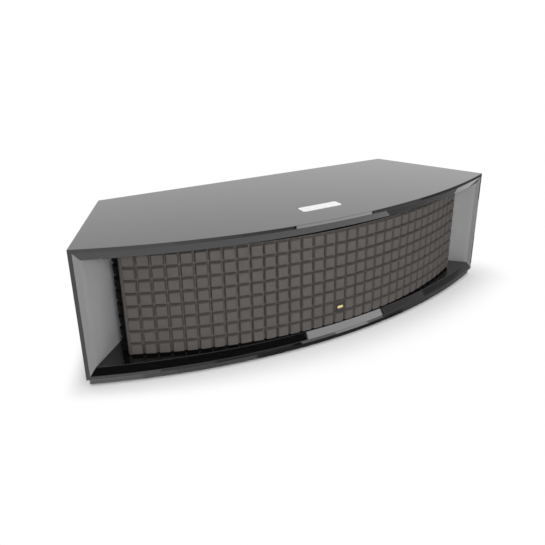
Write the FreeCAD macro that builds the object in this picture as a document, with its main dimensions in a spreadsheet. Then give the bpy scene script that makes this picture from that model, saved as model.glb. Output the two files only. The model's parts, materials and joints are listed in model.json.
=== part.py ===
import FreeCAD, Part
import os
import Sketcher

# Wireless speaker with a bowed front, in millimetres.
# The origin is on the floor under the middle of the case, +Z is up and the front faces -Y.

SIZES = {
    # lacquered case
    "case_width": 788,
    "side_taper": 93.5,
    "case_depth": 285.5,
    "case_height": 204.3,
    "front_bulge": 79,
    "board": 18,
    "rim_width": 5.5,
    "bevel_depth": 5,
    "side_inset": 15.5,
    "cheek_angle": 43,
    # base
    "plinth_height": 9.3,
    "plinth_inset": 4.5,
    "foot_height": 2.5,
    "foot_diameter": 26,
    "foot_seat": 3,
    "foot_inset_x": 80,
    "foot_inset_y": 45,
    # inner boards
    "baffle_board": 15,
    "baffle_setback": 56.75,
    "centre_share": 0.381,
    "facet_angle": 27.6,
    "rear_board": 15,
    "rear_recess": 13,
    "seat_gap": 0.3,
    # foam grille
    "tile_rows": 8,
    "tile_columns": 33,
    "tile_height": 20.4,
    "groove_depth": 7,
    "groove_mouth": 5.2,
    "groove_floor": 2.0,
    "end_groove": 2.6,
    "foam_base": 22,
    "foam_bulge": 78.4,
    "foam_gap": 51.9,
    "foam_setback": 1.5,
    "foam_drop": 1.2,
    # grille frame and its pegs
    "frame_thick": 5,
    "frame_border": 11,
    "frame_rib": 8,
    "frame_margin": 6,
    "peg_cover": 1.25,
    "peg_diameter": 8,
    "peg_depth": 9,
    "peg_inset": 10,
    "peg_spread_z": 70,
    # badge
    "badge_size": 15,
    "badge_thick": 0.8,
    "badge_tab_width": 11,
    "badge_tab_height": 4.5,
    "badge_tab_thick": 0.7,
    "badge_row": 2,
    # touch strip
    "strip_length": 75,
    "strip_width": 21,
    "strip_thick": 3,
    "strip_corner": 4.5,
    "strip_proud": 0.4,
    "strip_setback": 64.5,
    "strip_pocket": 9,
    "strip_ledge": 3,
    "board_thick": 1.6,
    "cable_slot": 24,
    # woofers
    "woofer_gap": 4,
    "woofer_lap": 11,
    "woofer_rest": 4,
    "woofer_depth": 54,
    "woofer_roll": 5.5,
    "woofer_skin": 1.2,
    "woofer_cone_depth": 22,
    "woofer_cap": 11,
    "woofer_travel": 10,
    "woofer_coil": 31,
    "woofer_magnet": 90,
    "woofer_magnet_height": 30,
    "woofer_yoke_thick": 7.5,
    "woofer_windows": 6,
    "woofer_screws": 6,
    # midranges
    "mid_share": 0.297,
    "mid_spread": 82,
    "mid_flange": 79,
    "mid_cutout": 66,
    "mid_rest": 3,
    "mid_depth": 30,
    "mid_roll": 3.2,
    "mid_skin": 0.8,
    "mid_cone_depth": 12,
    "mid_cap": 6,
    "mid_travel": 6,
    "mid_coil": 20,
    "mid_magnet": 56,
    "mid_magnet_height": 18,
    "mid_yoke_thick": 4.5,
    "mid_windows": 4,
    "mid_screws": 4,
    "window_share": 0.65,
    # tweeters
    "tweeter_margin": 48.4,
    "tweeter_flange": 62,
    "tweeter_cutout": 48,
    "tweeter_rest": 3,
    "tweeter_dome": 26,
    "tweeter_horn": 44,
    "tweeter_magnet": 44,
    "tweeter_magnet_height": 20,
    "tweeter_shell": 1,
    "tweeter_screws": 4,
    # driver screws
    "driver_screw": 5,
    "driver_screw_height": 1.6,
    # reflex ports
    "port_inset": 96.6,
    "port_bore": 50,
    "port_wall": 2.5,
    "port_flare": 6,
    "port_length": 110,
    "port_flange": 82,
    # rear plate and sockets
    "plate_width": 236,
    "plate_height": 112,
    "plate_thick": 3,
    "plate_lap": 9,
    "post_length": 34,
    "post_size": 8,
    "circuit_width": 200,
    "circuit_height": 90,
    "can_diameter": 18,
    "can_pitch": 22,
    "supply_size": 45,
    "radio_width": 30,
    "radio_height": 22,
    "radio_lift": 9,
    "sink_width": 120,
    "sink_height": 25,
    "sink_base": 6,
    "fin_count": 9,
    "fin_thick": 3,
    "socket_row": 22,
    "socket_pitch": 22,
    "rca_body": 10,
    "rca_bore": 6.5,
    "rca_length": 9,
    "jack_body": 10,
    "jack_bore": 3.6,
    "network_width": 16,
    "network_height": 14,
    "socket_wall": 1.2,
    "socket_depth": 18,
    "inlet_width": 28,
    "inlet_height": 21,
    "inlet_flange": 3,
    "ground_post": 9,
    "ground_length": 12,
    # rear screws
    "rear_screw": 7,
    "rear_screw_height": 2.2,
    "rear_screw_margin": 10,
}

WORKED = {
    "case_bottom": "Sizes.foot_height + Sizes.plinth_height",
    "case_top": "case_bottom + Sizes.case_height",
    "floor_z": "case_bottom + Sizes.board",
    "ceiling_z": "case_top - Sizes.board",
    "bay_height": "ceiling_z - floor_z",
    "mid_z": "(floor_z + ceiling_z) / 2",
    "front_y": "0 - Sizes.case_depth / 2",
    "rear_y": "Sizes.case_depth / 2",
    "corner_y": "front_y + Sizes.front_bulge",
    "corner_x": "Sizes.case_width / 2",
    "rear_x": "corner_x - Sizes.side_taper",
    # bow of the front and taper of the sides
    "front_radius": "(corner_x ^ 2 + Sizes.front_bulge ^ 2) / (2 * Sizes.front_bulge)",
    "front_centre": "front_y + front_radius",
    "side_run": "rear_y - corner_y",
    "side_slope": "Sizes.side_taper / side_run",
    "side_length": "sqrt(side_run ^ 2 + Sizes.side_taper ^ 2)",
    "side_thick": "Sizes.board * side_length / side_run",
    "inner_x": "corner_x - side_thick",
    # rim and bevel at the side
    "rim_x": "corner_x - Sizes.rim_width",
    "rim_y": "front_centre - sqrt(front_radius ^ 2 - rim_x ^ 2)",
    "bevel_x": "corner_x - Sizes.side_inset",
    "bevel_y": "front_centre - sqrt(front_radius ^ 2 - bevel_x ^ 2) + Sizes.bevel_depth",
    # baffle facets and the cheeks that meet them
    "baffle_y": "front_y + Sizes.baffle_setback",
    "facet_x": "Sizes.centre_share * corner_x",
    "facet_across": "(bevel_x - facet_x) * cos(Sizes.cheek_angle)",
    "facet_run": "facet_across + (bevel_y - baffle_y) * sin(Sizes.cheek_angle)",
    "facet_length": "facet_run / cos(Sizes.cheek_angle - Sizes.facet_angle)",
    "mid_along": "Sizes.mid_share * facet_length",
    "tweeter_along": "facet_length - Sizes.tweeter_margin",
    "woofer_flange": "facet_x - Sizes.woofer_gap",
    "woofer_cutout": "woofer_flange - 2 * Sizes.woofer_lap",
    "peg_x": "facet_x - Sizes.peg_inset",
    "cheek_x": "facet_x + facet_length * cos(Sizes.facet_angle)",
    "cheek_y": "baffle_y + facet_length * sin(Sizes.facet_angle)",
    "cheek_back_x": "cheek_x - Sizes.baffle_board * sin(Sizes.facet_angle)",
    "cheek_back_y": "cheek_y + Sizes.baffle_board * cos(Sizes.facet_angle)",
    "cheek_slant": "sin(Sizes.cheek_angle) - side_slope * cos(Sizes.cheek_angle)",
    "cheek_start": "(bevel_x - inner_x + side_slope * (bevel_y - corner_y)) / cheek_slant",
    "cheek_front_x": "bevel_x - cheek_start * sin(Sizes.cheek_angle)",
    "cheek_front_y": "bevel_y + cheek_start * cos(Sizes.cheek_angle)",
    # rear panel
    "panel_back": "rear_y - Sizes.rear_recess",
    "panel_front": "panel_back - Sizes.rear_board",
    "panel_x": "inner_x - side_slope * (panel_back - corner_y)",
    "port_x": "panel_x - Sizes.port_inset",
    # foam grille
    "foam_height": "Sizes.tile_rows * Sizes.tile_height",
    "foam_half": "bevel_x - Sizes.foam_gap",
    "foam_radius": "(foam_half ^ 2 + Sizes.foam_bulge ^ 2) / (2 * Sizes.foam_bulge)",
    "foam_centre": "front_y + Sizes.foam_setback + foam_radius",
    "foam_floor": "foam_radius - Sizes.groove_depth",
    "foam_back": "foam_floor - Sizes.foam_base",
    "tile_angle": "2 * asin(foam_half / foam_radius) / (1 deg) / Sizes.tile_columns",
    "frame_radius": "foam_back - Sizes.seat_gap",
    "frame_back": "frame_radius - Sizes.frame_thick",
    "foam_z": "mid_z - Sizes.foam_drop",
    "badge_z": "foam_z - foam_height / 2 + (Sizes.badge_row - 0.5) * Sizes.tile_height",
    "badge_y": "foam_centre - foam_radius",
    # touch strip
    "strip_y": "front_y + Sizes.strip_setback",
    "pocket_floor": "case_top - Sizes.strip_pocket",
    # rear plate
    "plate_y": "panel_back - Sizes.plate_thick",
    "circuit_y": "plate_y - Sizes.post_length",
    "socket_z": "mid_z - Sizes.socket_row",
}

# Place of each socket along the rear plate, counted in socket pitches from the middle
SOCKET_COLUMNS = {
    "ground": -4,
    "rca_left": -3,
    "rca_right": -2,
    "jack": -1,
    "network": 0.5,
    "mains": 3.5,
}

# Cells with each unit's flange and hole; a woofer's follow the width of the centre facet
FLANGE = {
    "woofer": "Worked.woofer_flange",
    "mid": "Sizes.mid_flange",
    "tweeter": "Sizes.tweeter_flange",
}
CUTOUT = {
    "woofer": "Worked.woofer_cutout",
    "mid": "Sizes.mid_cutout",
    "tweeter": "Sizes.tweeter_cutout",
}

doc = FreeCAD.newDocument("wireless_speaker")
Vector = FreeCAD.Vector
UP = Vector(0, 0, 1)


def fill_sheet(name, rows, prefix):
    """A spreadsheet with one named cell for each row."""
    sheet = doc.addObject("Spreadsheet::Sheet", name)
    for number, (alias, text) in enumerate(rows.items(), start=1):
        cell = "A%d" % number
        sheet.set(cell, prefix + str(text))
        sheet.setAlias(cell, alias)
    doc.recompute()
    return sheet


sizes = fill_sheet("Sizes", SIZES, "")
fill_sheet("Worked", WORKED, "=")
nodes = {}


def value(text):
    """The number that an expression gives now."""
    result = sizes.evalExpression(text)
    return float(getattr(result, "Value", result))


def bind(thing, **expressions):
    """Tie properties to expressions; a double underscore stands for a dot."""
    for name, text in expressions.items():
        thing.setExpression(name.replace("__", "."), text)


def place(thing, x="0", y="0", z="0", axis=UP, turn=None):
    """Give an object its place, and a turn about one axis."""
    angle = value(turn) if turn else 0
    spot = Vector(value(x), value(y), value(z))
    thing.Placement = FreeCAD.Placement(spot, FreeCAD.Rotation(axis, angle))
    bind(thing, Placement__Base__x=x, Placement__Base__y=y, Placement__Base__z=z)
    if turn:
        bind(thing, Placement__Rotation__Angle=turn)


def node(thing, label):
    """Name an object as one of the speaker's pieces."""
    thing.Label = label
    nodes[label] = thing
    return thing


# Sketch helpers

def constrain(sketch, kind, geometry, point, text):
    """Hold one coordinate of a point to an expression."""
    index = sketch.addConstraint(Sketcher.Constraint(kind, -1, 1, geometry, point, value(text)))
    sketch.setExpression("Constraints[%d]" % index, text)


def draw(sketch, corners, arcs=None):
    """A closed outline through corners given as expressions; arcs maps a side to radius and centre."""
    arcs = arcs or {}
    points = [Vector(value(x), value(y), 0) for x, y in corners]
    ends = []
    for side, start in enumerate(points):
        finish = points[(side + 1) % len(points)]
        if side in arcs:
            radius, centre_x, centre_y, turning = arcs[side]
            circle = Part.Circle(Vector(value(centre_x), value(centre_y), 0), UP, value(radius))
            first, last = (start, finish) if turning > 0 else (finish, start)
            curve = Part.ArcOfCircle(circle, circle.parameter(first), circle.parameter(last))
            index = sketch.addGeometry(curve)
            level = abs(finish.x - start.x) > abs(finish.y - start.y)
            if level:
                constrain(sketch, "DistanceY", index, 3, centre_y)
            else:
                constrain(sketch, "DistanceX", index, 3, centre_x)
            ends.append((index, 1, 2) if turning > 0 else (index, 2, 1))
        else:
            index = sketch.addGeometry(Part.LineSegment(start, finish))
            ends.append((index, 1, 2))
    for side, (index, first, last) in enumerate(ends):
        after, after_first, _ = ends[(side + 1) % len(ends)]
        sketch.addConstraint(Sketcher.Constraint("Coincident", index, last, after, after_first))
        constrain(sketch, "DistanceX", index, first, corners[side][0])
        constrain(sketch, "DistanceY", index, first, corners[side][1])


def ring(sketch, x, y, diameter):
    """A circle in a sketch."""
    circle = Part.Circle(Vector(value(x), value(y), 0), UP, value(diameter) / 2)
    index = sketch.addGeometry(circle)
    held = sketch.addConstraint(Sketcher.Constraint("Diameter", index, value(diameter)))
    sketch.setExpression("Constraints[%d]" % held, diameter)
    constrain(sketch, "DistanceX", index, 3, x)
    constrain(sketch, "DistanceY", index, 3, y)


def rectangle(x0, y0, x1, y1):
    """Corners of a rectangle."""
    return [(x0, y0), (x1, y0), (x1, y1), (x0, y1)]


def minus(text):
    """The negative of an expression."""
    return "0 - (%s)" % text


def new_body(name):
    return doc.addObject("PartDesign::Body", name)


def sketch_on(body, role, lift=None):
    """A sketch on one of a body's own planes, lifted along the plane's normal."""
    sketch = body.newObject("Sketcher::SketchObject", body.Name + "_sketch")
    plane = [item for item in body.Origin.OriginFeatures if item.Role == role][0]
    sketch.AttachmentSupport = [(plane, "")]
    sketch.MapMode = "FlatFace"
    if lift:
        bind(sketch, AttachmentOffset__Base__z=lift)
    return sketch


def axis_of(body, role):
    return [item for item in body.Origin.OriginFeatures if item.Role == role][0]


def pad(body, sketch, length, back=False, middle=False):
    feature = body.newObject("PartDesign::Pad", body.Name + "_pad")
    feature.Profile = sketch
    feature.Reversed = back
    feature.Midplane = middle
    bind(feature, Length=length)
    return feature


def cut_through(body, sketch):
    """Cut a sketch's outlines right through the body, both ways."""
    feature = body.newObject("PartDesign::Pocket", body.Name + "_cut")
    feature.Profile = sketch
    feature.Type = "ThroughAll"
    feature.Midplane = True
    return feature


def slab(name, corners, low, height, arcs=None):
    """A plan outline raised from a level."""
    body = new_body(name)
    sketch = sketch_on(body, "XY_Plane", low)
    draw(sketch, corners, arcs)
    pad(body, sketch, height)
    return body


def turned(name, corners, arcs=None, upright=False):
    """A piece turned about its own Y axis, or about Z when it is upright."""
    body = new_body(name)
    sketch = sketch_on(body, "XZ_Plane" if upright else "XY_Plane")
    draw(sketch, corners, arcs)
    feature = body.newObject("PartDesign::Revolution", name + "_turn")
    feature.Profile = sketch
    feature.ReferenceAxis = (sketch, ["V_Axis"])
    feature.Angle = 360
    return body


def block(name, x, y, z, width, depth, height):
    """A box centred on x, standing on z, with its front face at y."""
    box = doc.addObject("Part::Box", name)
    bind(box, Length=width, Width=depth, Height=height)
    place(box, "%s - (%s) / 2" % (x, width), y, z)
    return box


def rod(name, x, y, z, diameter, length):
    """A cylinder that runs forward from its back end at y."""
    cylinder = doc.addObject("Part::Cylinder", name)
    bind(cylinder, Radius="(%s) / 2" % diameter, Height=length)
    place(cylinder, x, y, z, axis=Vector(1, 0, 0), turn="90")
    return cylinder


def combine(kind, name, things):
    """A fusion or a compound of several objects."""
    result = doc.addObject(kind, name)
    if kind == "Part::Compound":
        result.Links = things
    else:
        result.Shapes = things
    return result


def pair(kind, name, base, tool):
    """A cut or a common of two objects."""
    result = doc.addObject(kind, name)
    result.Base = base
    result.Tool = tool
    return result


# Case: a tapered block with a bowed front, opened by a bevelled bay and split into boards

def case_outline(inset):
    """Plan of the case, drawn in by an inset: left front, right front, right rear, left rear."""
    front_x = "Worked.corner_x - %s * Worked.side_length / Worked.side_run" % inset
    rear_x = "Worked.rear_x - %s * Worked.side_length / Worked.side_run" % inset
    front_y = "Worked.front_centre - sqrt((Worked.front_radius - %s) ^ 2 - (%s) ^ 2)" % (inset, front_x)
    rear_y = "Worked.rear_y - %s" % inset
    right = [(front_x, front_y), (rear_x, rear_y)]
    left = [(minus(x), y) for x, y in reversed(right)]
    corners = left[1:] + right + left[:1]
    bow = ("Worked.front_radius - %s" % inset, "0", "Worked.front_centre", 1)
    return corners, {0: bow}


def front_bay():
    """The bay behind the rim: turned bevels above and below, straight bevels and cheeks at the sides."""
    body = new_body("bay_turn")
    sketch = sketch_on(body, "XZ_Plane")
    reach = "Worked.front_radius + Sizes.board"
    throat = "Worked.front_radius - Sizes.bevel_depth"
    heart = "Worked.front_radius - Sizes.case_depth"
    low_rim = "Worked.case_bottom + Sizes.rim_width"
    high_rim = "Worked.case_top - Sizes.rim_width"
    draw(sketch, [
        (heart, "Worked.floor_z"), (throat, "Worked.floor_z"), ("Worked.front_radius", low_rim),
        (reach, low_rim), (reach, high_rim), ("Worked.front_radius", high_rim),
        (throat, "Worked.ceiling_z"), (heart, "Worked.ceiling_z"),
    ])
    feature = body.newObject("PartDesign::Revolution", "bay_turn_sweep")
    feature.Profile = sketch
    feature.ReferenceAxis = (sketch, ["V_Axis"])
    feature.Midplane = True
    bind(feature, Angle="4 * asin(Worked.corner_x / Worked.front_radius)")
    place(body, y="Worked.front_centre", turn="-90")
    edge_x = "2 * Worked.rim_x - Worked.bevel_x"
    edge_y = "2 * Worked.rim_y - Worked.bevel_y"
    ahead = "Worked.front_y - Sizes.board"
    half = [(edge_x, ahead), (edge_x, edge_y),
            ("Worked.bevel_x", "Worked.bevel_y"), ("Worked.cheek_x", "Worked.cheek_y")]
    other = [(minus(x), y) for x, y in reversed(half)]
    plan = slab("bay_plan", half + other, "Worked.case_bottom", "Sizes.case_height")
    return pair("Part::Common", "front_bay", body, plan)


def side_board(name, sign):
    """Plan of one side board, cut out of the case between floor and ceiling."""
    front = "Worked.corner_y - Sizes.board"
    rear = "Worked.rear_y + Sizes.board"
    far = "Worked.corner_x + Sizes.board"
    inner_front = "Worked.inner_x + Worked.side_slope * Sizes.board"
    inner_rear = "Worked.inner_x - Worked.side_slope * (Worked.side_run + Sizes.board)"
    corners = [(inner_front, front), (far, front), (far, rear), (inner_rear, rear)]
    sided = [("%d * (%s)" % (sign, x), y) for x, y in corners]
    return slab(name, sided, "Worked.floor_z", "Worked.bay_height")


def case():
    corners, arcs = case_outline("0")
    whole = slab("case_block", corners, "Worked.case_bottom", "Sizes.case_height", arcs)
    opened = pair("Part::Cut", "case_opened", whole, front_bay())
    span = ("2 * Sizes.case_width", "2 * Sizes.case_depth", "Sizes.board")
    roof = block("roof_slab", "0", "0 - Sizes.case_depth", "Worked.ceiling_z", *span)
    floor = block("floor_slab", "0", "0 - Sizes.case_depth", "Worked.case_bottom", *span)
    top = pair("Part::Common", "top_board", opened, roof)
    pocket_corners, pocket_arcs = strip_plan("Sizes.seat_gap")
    pocket = slab("strip_pocket", pocket_corners, "Worked.pocket_floor", "Sizes.board", pocket_arcs)
    slot = block("cable_slot", "0", "Worked.strip_y - Sizes.strip_ledge",
                 "Worked.ceiling_z - Sizes.seat_gap",
                 "Sizes.cable_slot", "2 * Sizes.strip_ledge", "Sizes.board")
    openings = combine("Part::MultiFuse", "top_openings", [pocket, slot])
    node(pair("Part::Cut", "top_panel", top, openings), "top_panel")
    node(pair("Part::Common", "bottom_panel", opened, floor), "bottom_panel")
    for label, sign in (("left", -1), ("right", 1)):
        board = side_board(label + "_side_slab", sign)
        node(pair("Part::Common", label + "_side_panel", opened, board), label + "_side_panel")
        side_x = "Worked.inner_x - Worked.side_slope * (Worked.cheek_back_y - Worked.corner_y)"
        cheek = [("Worked.cheek_front_x", "Worked.cheek_front_y"), ("Worked.cheek_x", "Worked.cheek_y"),
                 ("Worked.cheek_back_x", "Worked.cheek_back_y"), (side_x, "Worked.cheek_back_y")]
        cheek = [("%d * (%s)" % (sign, x), y) for x, y in cheek]
        node(slab(label + "_cheek", cheek, "Worked.floor_z", "Worked.bay_height"), label + "_cheek")


# Touch strip in the top panel

def strip_plan(gap):
    """Rounded outline of the strip, grown by a gap."""
    half_x = "(Sizes.strip_length / 2 + %s)" % gap
    half_y = "(Sizes.strip_width / 2 + %s)" % gap
    corner = "Sizes.strip_corner"
    middle = "Worked.strip_y"
    corners = []
    arcs = {}
    turns = [(1, -1), (1, 1), (-1, 1), (-1, -1)]
    for index, (sx, sy) in enumerate(turns):
        flat_x = "%d * (%s - %s)" % (sx, half_x, corner)
        flat_y = "%s + %d * (%s - %s)" % (middle, sy, half_y, corner)
        edge_x = "%d * %s" % (sx, half_x)
        edge_y = "%s + %d * %s" % (middle, sy, half_y)
        along_x = (flat_x, edge_y)
        along_y = (edge_x, flat_y)
        corners += [along_x, along_y] if index % 2 == 0 else [along_y, along_x]
        arcs[2 * index] = (corner, flat_x, flat_y, 1)
    return corners, arcs


def touch_strip():
    corners, arcs = strip_plan("0")
    low = "Worked.case_top + Sizes.strip_proud - Sizes.strip_thick"
    node(slab("control_strip", corners, low, "Sizes.strip_thick", arcs), "control_strip")
    length = "Sizes.strip_length - 2 * Sizes.strip_corner"
    width = "Sizes.strip_width - 2 * Sizes.seat_gap"
    front = "Worked.strip_y - (%s) / 2" % width
    plate = block("control_plate", "0", front, "%s - Sizes.board_thick" % low,
                  length, width, "Sizes.board_thick")
    leg_height = "%s - Sizes.board_thick - Worked.pocket_floor" % low
    legs = []
    for name, sign in (("left", -1), ("right", 1)):
        leg_x = "%d * (%s - Sizes.strip_ledge) / 2" % (sign, length)
        legs.append(block("control_leg_" + name, leg_x, front, "Worked.pocket_floor",
                          "Sizes.strip_ledge", width, leg_height))
    node(combine("Part::MultiFuse", "control_board", [plate] + legs), "control_board")


# Base: a recessed plinth on four rubber feet

def base():
    corners, arcs = case_outline("Sizes.plinth_inset")
    plate = slab("plinth_plate", corners, "Sizes.foot_height", "Sizes.plinth_height", arcs)
    seats = []
    radius = "Sizes.foot_diameter / 2"
    foot_top = "Sizes.foot_height + Sizes.foot_seat"
    foot_half = [("0", "0"), (radius + " - Sizes.foot_height", "0"), (radius, "Sizes.foot_height"),
                 (radius, foot_top), ("0", foot_top)]
    places = [("front_left", -1, -1), ("front_right", 1, -1), ("rear_left", -1, 1), ("rear_right", 1, 1)]
    for name, sx, sy in places:
        reach = "Worked.corner_x" if sy < 0 else "Worked.rear_x"
        line = "Worked.corner_y" if sy < 0 else "Worked.rear_y"
        x = "%d * (%s - Sizes.foot_inset_x)" % (sx, reach)
        y = "%s + Sizes.foot_inset_y * %d" % (line, -sy)
        foot = turned("foot_" + name, foot_half, upright=True)
        place(foot, x, y)
        node(foot, "foot_" + name)
        seat = doc.addObject("Part::Cylinder", "foot_seat_" + name)
        bind(seat, Radius=radius, Height=foot_top)
        place(seat, x, y)
        seats.append(seat)
    all_seats = combine("Part::MultiFuse", "foot_seats", seats)
    node(pair("Part::Cut", "base_plinth", plate, all_seats), "base_plinth")


# Foam grille: rows turned about the grille's centre, columns cut radially, rows carried round the ends

def foam():
    body = new_body("foam_grille")
    rows = int(value("Sizes.tile_rows"))
    outer = "Worked.foam_radius"
    floor = "Worked.foam_floor"
    low = "0 - Worked.foam_height / 2"
    profile = [("Worked.foam_back", low), (floor, low)]
    for row in range(rows):
        start = "%s + %d * Sizes.tile_height" % (low, row)
        finish = "%s + %d * Sizes.tile_height" % (low, row + 1)
        profile += [(floor, start + " + Sizes.groove_floor / 2"),
                    (outer, start + " + Sizes.groove_mouth / 2"),
                    (outer, finish + " - Sizes.groove_mouth / 2"),
                    (floor, finish + " - Sizes.groove_floor / 2")]
    profile += [(floor, "Worked.foam_height / 2"), ("Worked.foam_back", "Worked.foam_height / 2")]
    sketch = sketch_on(body, "XZ_Plane")
    draw(sketch, profile)
    feature = body.newObject("PartDesign::Revolution", "foam_rows")
    feature.Profile = sketch
    feature.ReferenceAxis = (sketch, ["V_Axis"])
    feature.Midplane = True
    bind(feature, Angle="(Sizes.tile_columns + 4) * Worked.tile_angle")

    ends = sketch_on(body, "XY_Plane")
    behind = "Worked.foam_back / 2"
    ahead = "Worked.foam_radius + Sizes.foam_base"
    far = "Worked.foam_radius"
    edge = "(Worked.foam_half - Sizes.groove_mouth / 2)"
    step_x = "sqrt(Worked.foam_floor ^ 2 - Worked.foam_half ^ 2)"
    edge_x = "sqrt(Worked.foam_radius ^ 2 - %s ^ 2)" % edge
    for sign in (-1, 1):
        cut_line = [(behind, "Worked.foam_half"), (step_x, "Worked.foam_half"), (edge_x, edge), (ahead, edge),
                    (ahead, far), (behind, far)]
        draw(ends, [(x, "%d * %s" % (sign, across)) for x, across in cut_line])
    cut_through(body, ends)

    slots = sketch_on(body, "YZ_Plane")
    mouth_x = "(Worked.foam_half + Sizes.end_groove)"
    floor_x = "(Worked.foam_half - Sizes.end_groove)"
    wide = "(Sizes.groove_mouth - Sizes.groove_floor / 2)"
    narrow = "(Sizes.groove_floor / 2)"
    for row in range(1, rows):
        level = "%s + %d * Sizes.tile_height" % (low, row)
        for sign in (-1, 1):
            draw(slots, [("%d * %s" % (sign, mouth_x), "%s - %s" % (level, wide)),
                         ("%d * %s" % (sign, floor_x), "%s - %s" % (level, narrow)),
                         ("%d * %s" % (sign, floor_x), "%s + %s" % (level, narrow)),
                         ("%d * %s" % (sign, mouth_x), "%s + %s" % (level, wide))])
    cut_through(body, slots)

    groove = sketch_on(body, "XY_Plane")
    first = "(0 - (Sizes.tile_columns - 2) / 2 * Worked.tile_angle)"
    rise = "(Worked.foam_radius + Sizes.groove_depth)"
    sole = "(Worked.foam_floor + Sizes.seat_gap)"

    def turned_point(radius, across):
        x = "%s * cos(%s) - %s * sin(%s)" % (radius, first, across, first)
        y = "%s * sin(%s) + %s * cos(%s)" % (radius, first, across, first)
        return x, y

    draw(groove, [turned_point(sole, "(0 - Sizes.groove_floor / 2)"), turned_point(rise, "(0 - %s)" % wide),
                  turned_point(rise, wide), turned_point(sole, "(Sizes.groove_floor / 2)")])
    first_cut = cut_through(body, groove)
    columns = body.newObject("PartDesign::PolarPattern", "foam_columns")
    columns.Originals = [first_cut]
    columns.Axis = (axis_of(body, "Z_Axis"), [""])
    bind(columns, Angle="(Sizes.tile_columns - 2) * Worked.tile_angle", Occurrences="Sizes.tile_columns - 1")
    body.Tip = columns
    place(body, y="Worked.foam_centre", z="Worked.foam_z", turn="-90")
    node(body, "foam_grille")


def grille_frame():
    """A thin bowed frame behind the foam, on pegs that push into the baffle."""
    body = new_body("frame_ring")
    half = "(Worked.foam_half - Sizes.frame_margin)"
    front_x = "sqrt(Worked.frame_radius ^ 2 - %s ^ 2)" % half
    back_x = "sqrt(Worked.frame_back ^ 2 - %s ^ 2)" % half
    plan = sketch_on(body, "XY_Plane")
    draw(plan, [(front_x, "0 - " + half), (front_x, half), (back_x, half), (back_x, "0 - " + half)],
         {0: ("Worked.frame_radius", "0", "0", 1), 2: ("Worked.frame_back", "0", "0", -1)})
    height = "(Worked.foam_height - 2 * Sizes.frame_margin)"
    pad(body, plan, height, middle=True)
    windows = sketch_on(body, "YZ_Plane")
    level = "(%s / 2 - Sizes.frame_border)" % height
    inner = "(Worked.peg_x + Sizes.frame_rib)"
    right_spans = [("Sizes.frame_rib", "Worked.peg_x - Sizes.frame_rib"),
                   (inner, half + " - Sizes.frame_border")]
    left_spans = [(minus(right), minus(left)) for left, right in right_spans]
    for left, right in left_spans + right_spans:
        draw(windows, rectangle(left, "0 - " + level, right, level))
    cut_through(body, windows)
    place(body, y="Worked.foam_centre", z="Worked.mid_z", turn="-90")
    pegs = []
    for column in (-1, 0, 1):
        for side in (-1, 1):
            x = "%d * Worked.peg_x" % column
            z = "Worked.mid_z + %d * Sizes.peg_spread_z" % side
            reach = "sqrt((Worked.frame_radius - Sizes.peg_cover) ^ 2 - (%s) ^ 2)" % x
            back = "(Worked.baffle_y + Sizes.peg_depth)"
            length = "%s - Worked.foam_centre + %s" % (back, reach)
            name = "peg_%d_%d" % (column + 2, side + 2)
            pegs.append(rod(name, x, back, z, "Sizes.peg_diameter", length))
    group = node(combine("Part::Compound", "grille_pegs", pegs), "grille_pegs")
    node(pair("Part::Cut", "grille_frame", body, group), "grille_frame")
    return pegs


def badge():
    size = "Sizes.badge_size"
    plate = block("badge_plate", "0", "Worked.badge_y - Sizes.badge_thick",
                  "Worked.badge_z - %s / 2" % size,
                  size, "Sizes.badge_thick", size)
    node(plate, "badge_plate")
    tab = block("badge_tab", "0", "Worked.badge_y - Sizes.badge_thick - Sizes.badge_tab_thick",
                "Worked.badge_z - Sizes.badge_tab_height / 2",
                "Sizes.badge_tab_width", "Sizes.badge_tab_thick", "Sizes.badge_tab_height")
    node(tab, "badge_tab")


# Loudspeaker units: turned pieces whose own Y axis points into the case

def basket(prefix):
    """Flange, sloping wall and back plate of a unit's frame."""
    flange = "%s / 2" % FLANGE[prefix]
    cutout = "%s / 2 - Sizes.seat_gap" % CUTOUT[prefix]
    rest = "Sizes.%s_rest" % prefix
    wall = "(2 * Sizes.%s_skin)" % prefix
    foot = "Sizes.%s_magnet / 2" % prefix
    back = "Sizes.%s_depth" % prefix
    coil = "(Sizes.%s_coil / 2 + 2 * Sizes.%s_skin)" % (prefix, prefix)
    plate = "%s - %s" % (back, wall)
    throat = "%s - 2 * %s" % (cutout, wall)
    return [(throat, "0"), (flange, "0"), (flange, rest), (cutout, rest), (foot, back), (coil, back),
            (coil, plate), ("%s - %s" % (foot, wall), plate), (throat, rest)]


def open_windows(body, prefix):
    """Cut the windows between the spokes of a unit's frame, one sketch repeated round the axis."""
    wall = "2 * Sizes.%s_skin" % prefix
    start = "Sizes.%s_rest + %s" % (prefix, wall)
    inner = "(Sizes.%s_magnet / 2 + Sizes.seat_gap)" % prefix
    outer = "(%s / 2)" % FLANGE[prefix]
    half_angle = "(180 / Sizes.%s_windows * Sizes.window_share)" % prefix
    sketch = sketch_on(body, "XZ_Plane", "0 - (%s)" % start)
    corners = []
    for radius, sign in ((inner, -1), (outer, -1), (outer, 1), (inner, 1)):
        along = "%s * cos%s" % (radius, half_angle)
        corners.append((along, "%d * %s * sin%s" % (sign, radius, half_angle)))
    draw(sketch, corners)
    window = body.newObject("PartDesign::Pocket", body.Name + "_window")
    window.Profile = sketch
    bind(window, Length="Sizes.%s_depth - (%s) - %s" % (prefix, start, wall))
    ring_of = body.newObject("PartDesign::PolarPattern", body.Name + "_windows")
    ring_of.Originals = [window]
    ring_of.Axis = (axis_of(body, "Y_Axis"), [""])
    ring_of.Angle = 360
    bind(ring_of, Occurrences="Sizes.%s_windows" % prefix)
    body.Tip = ring_of


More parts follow.
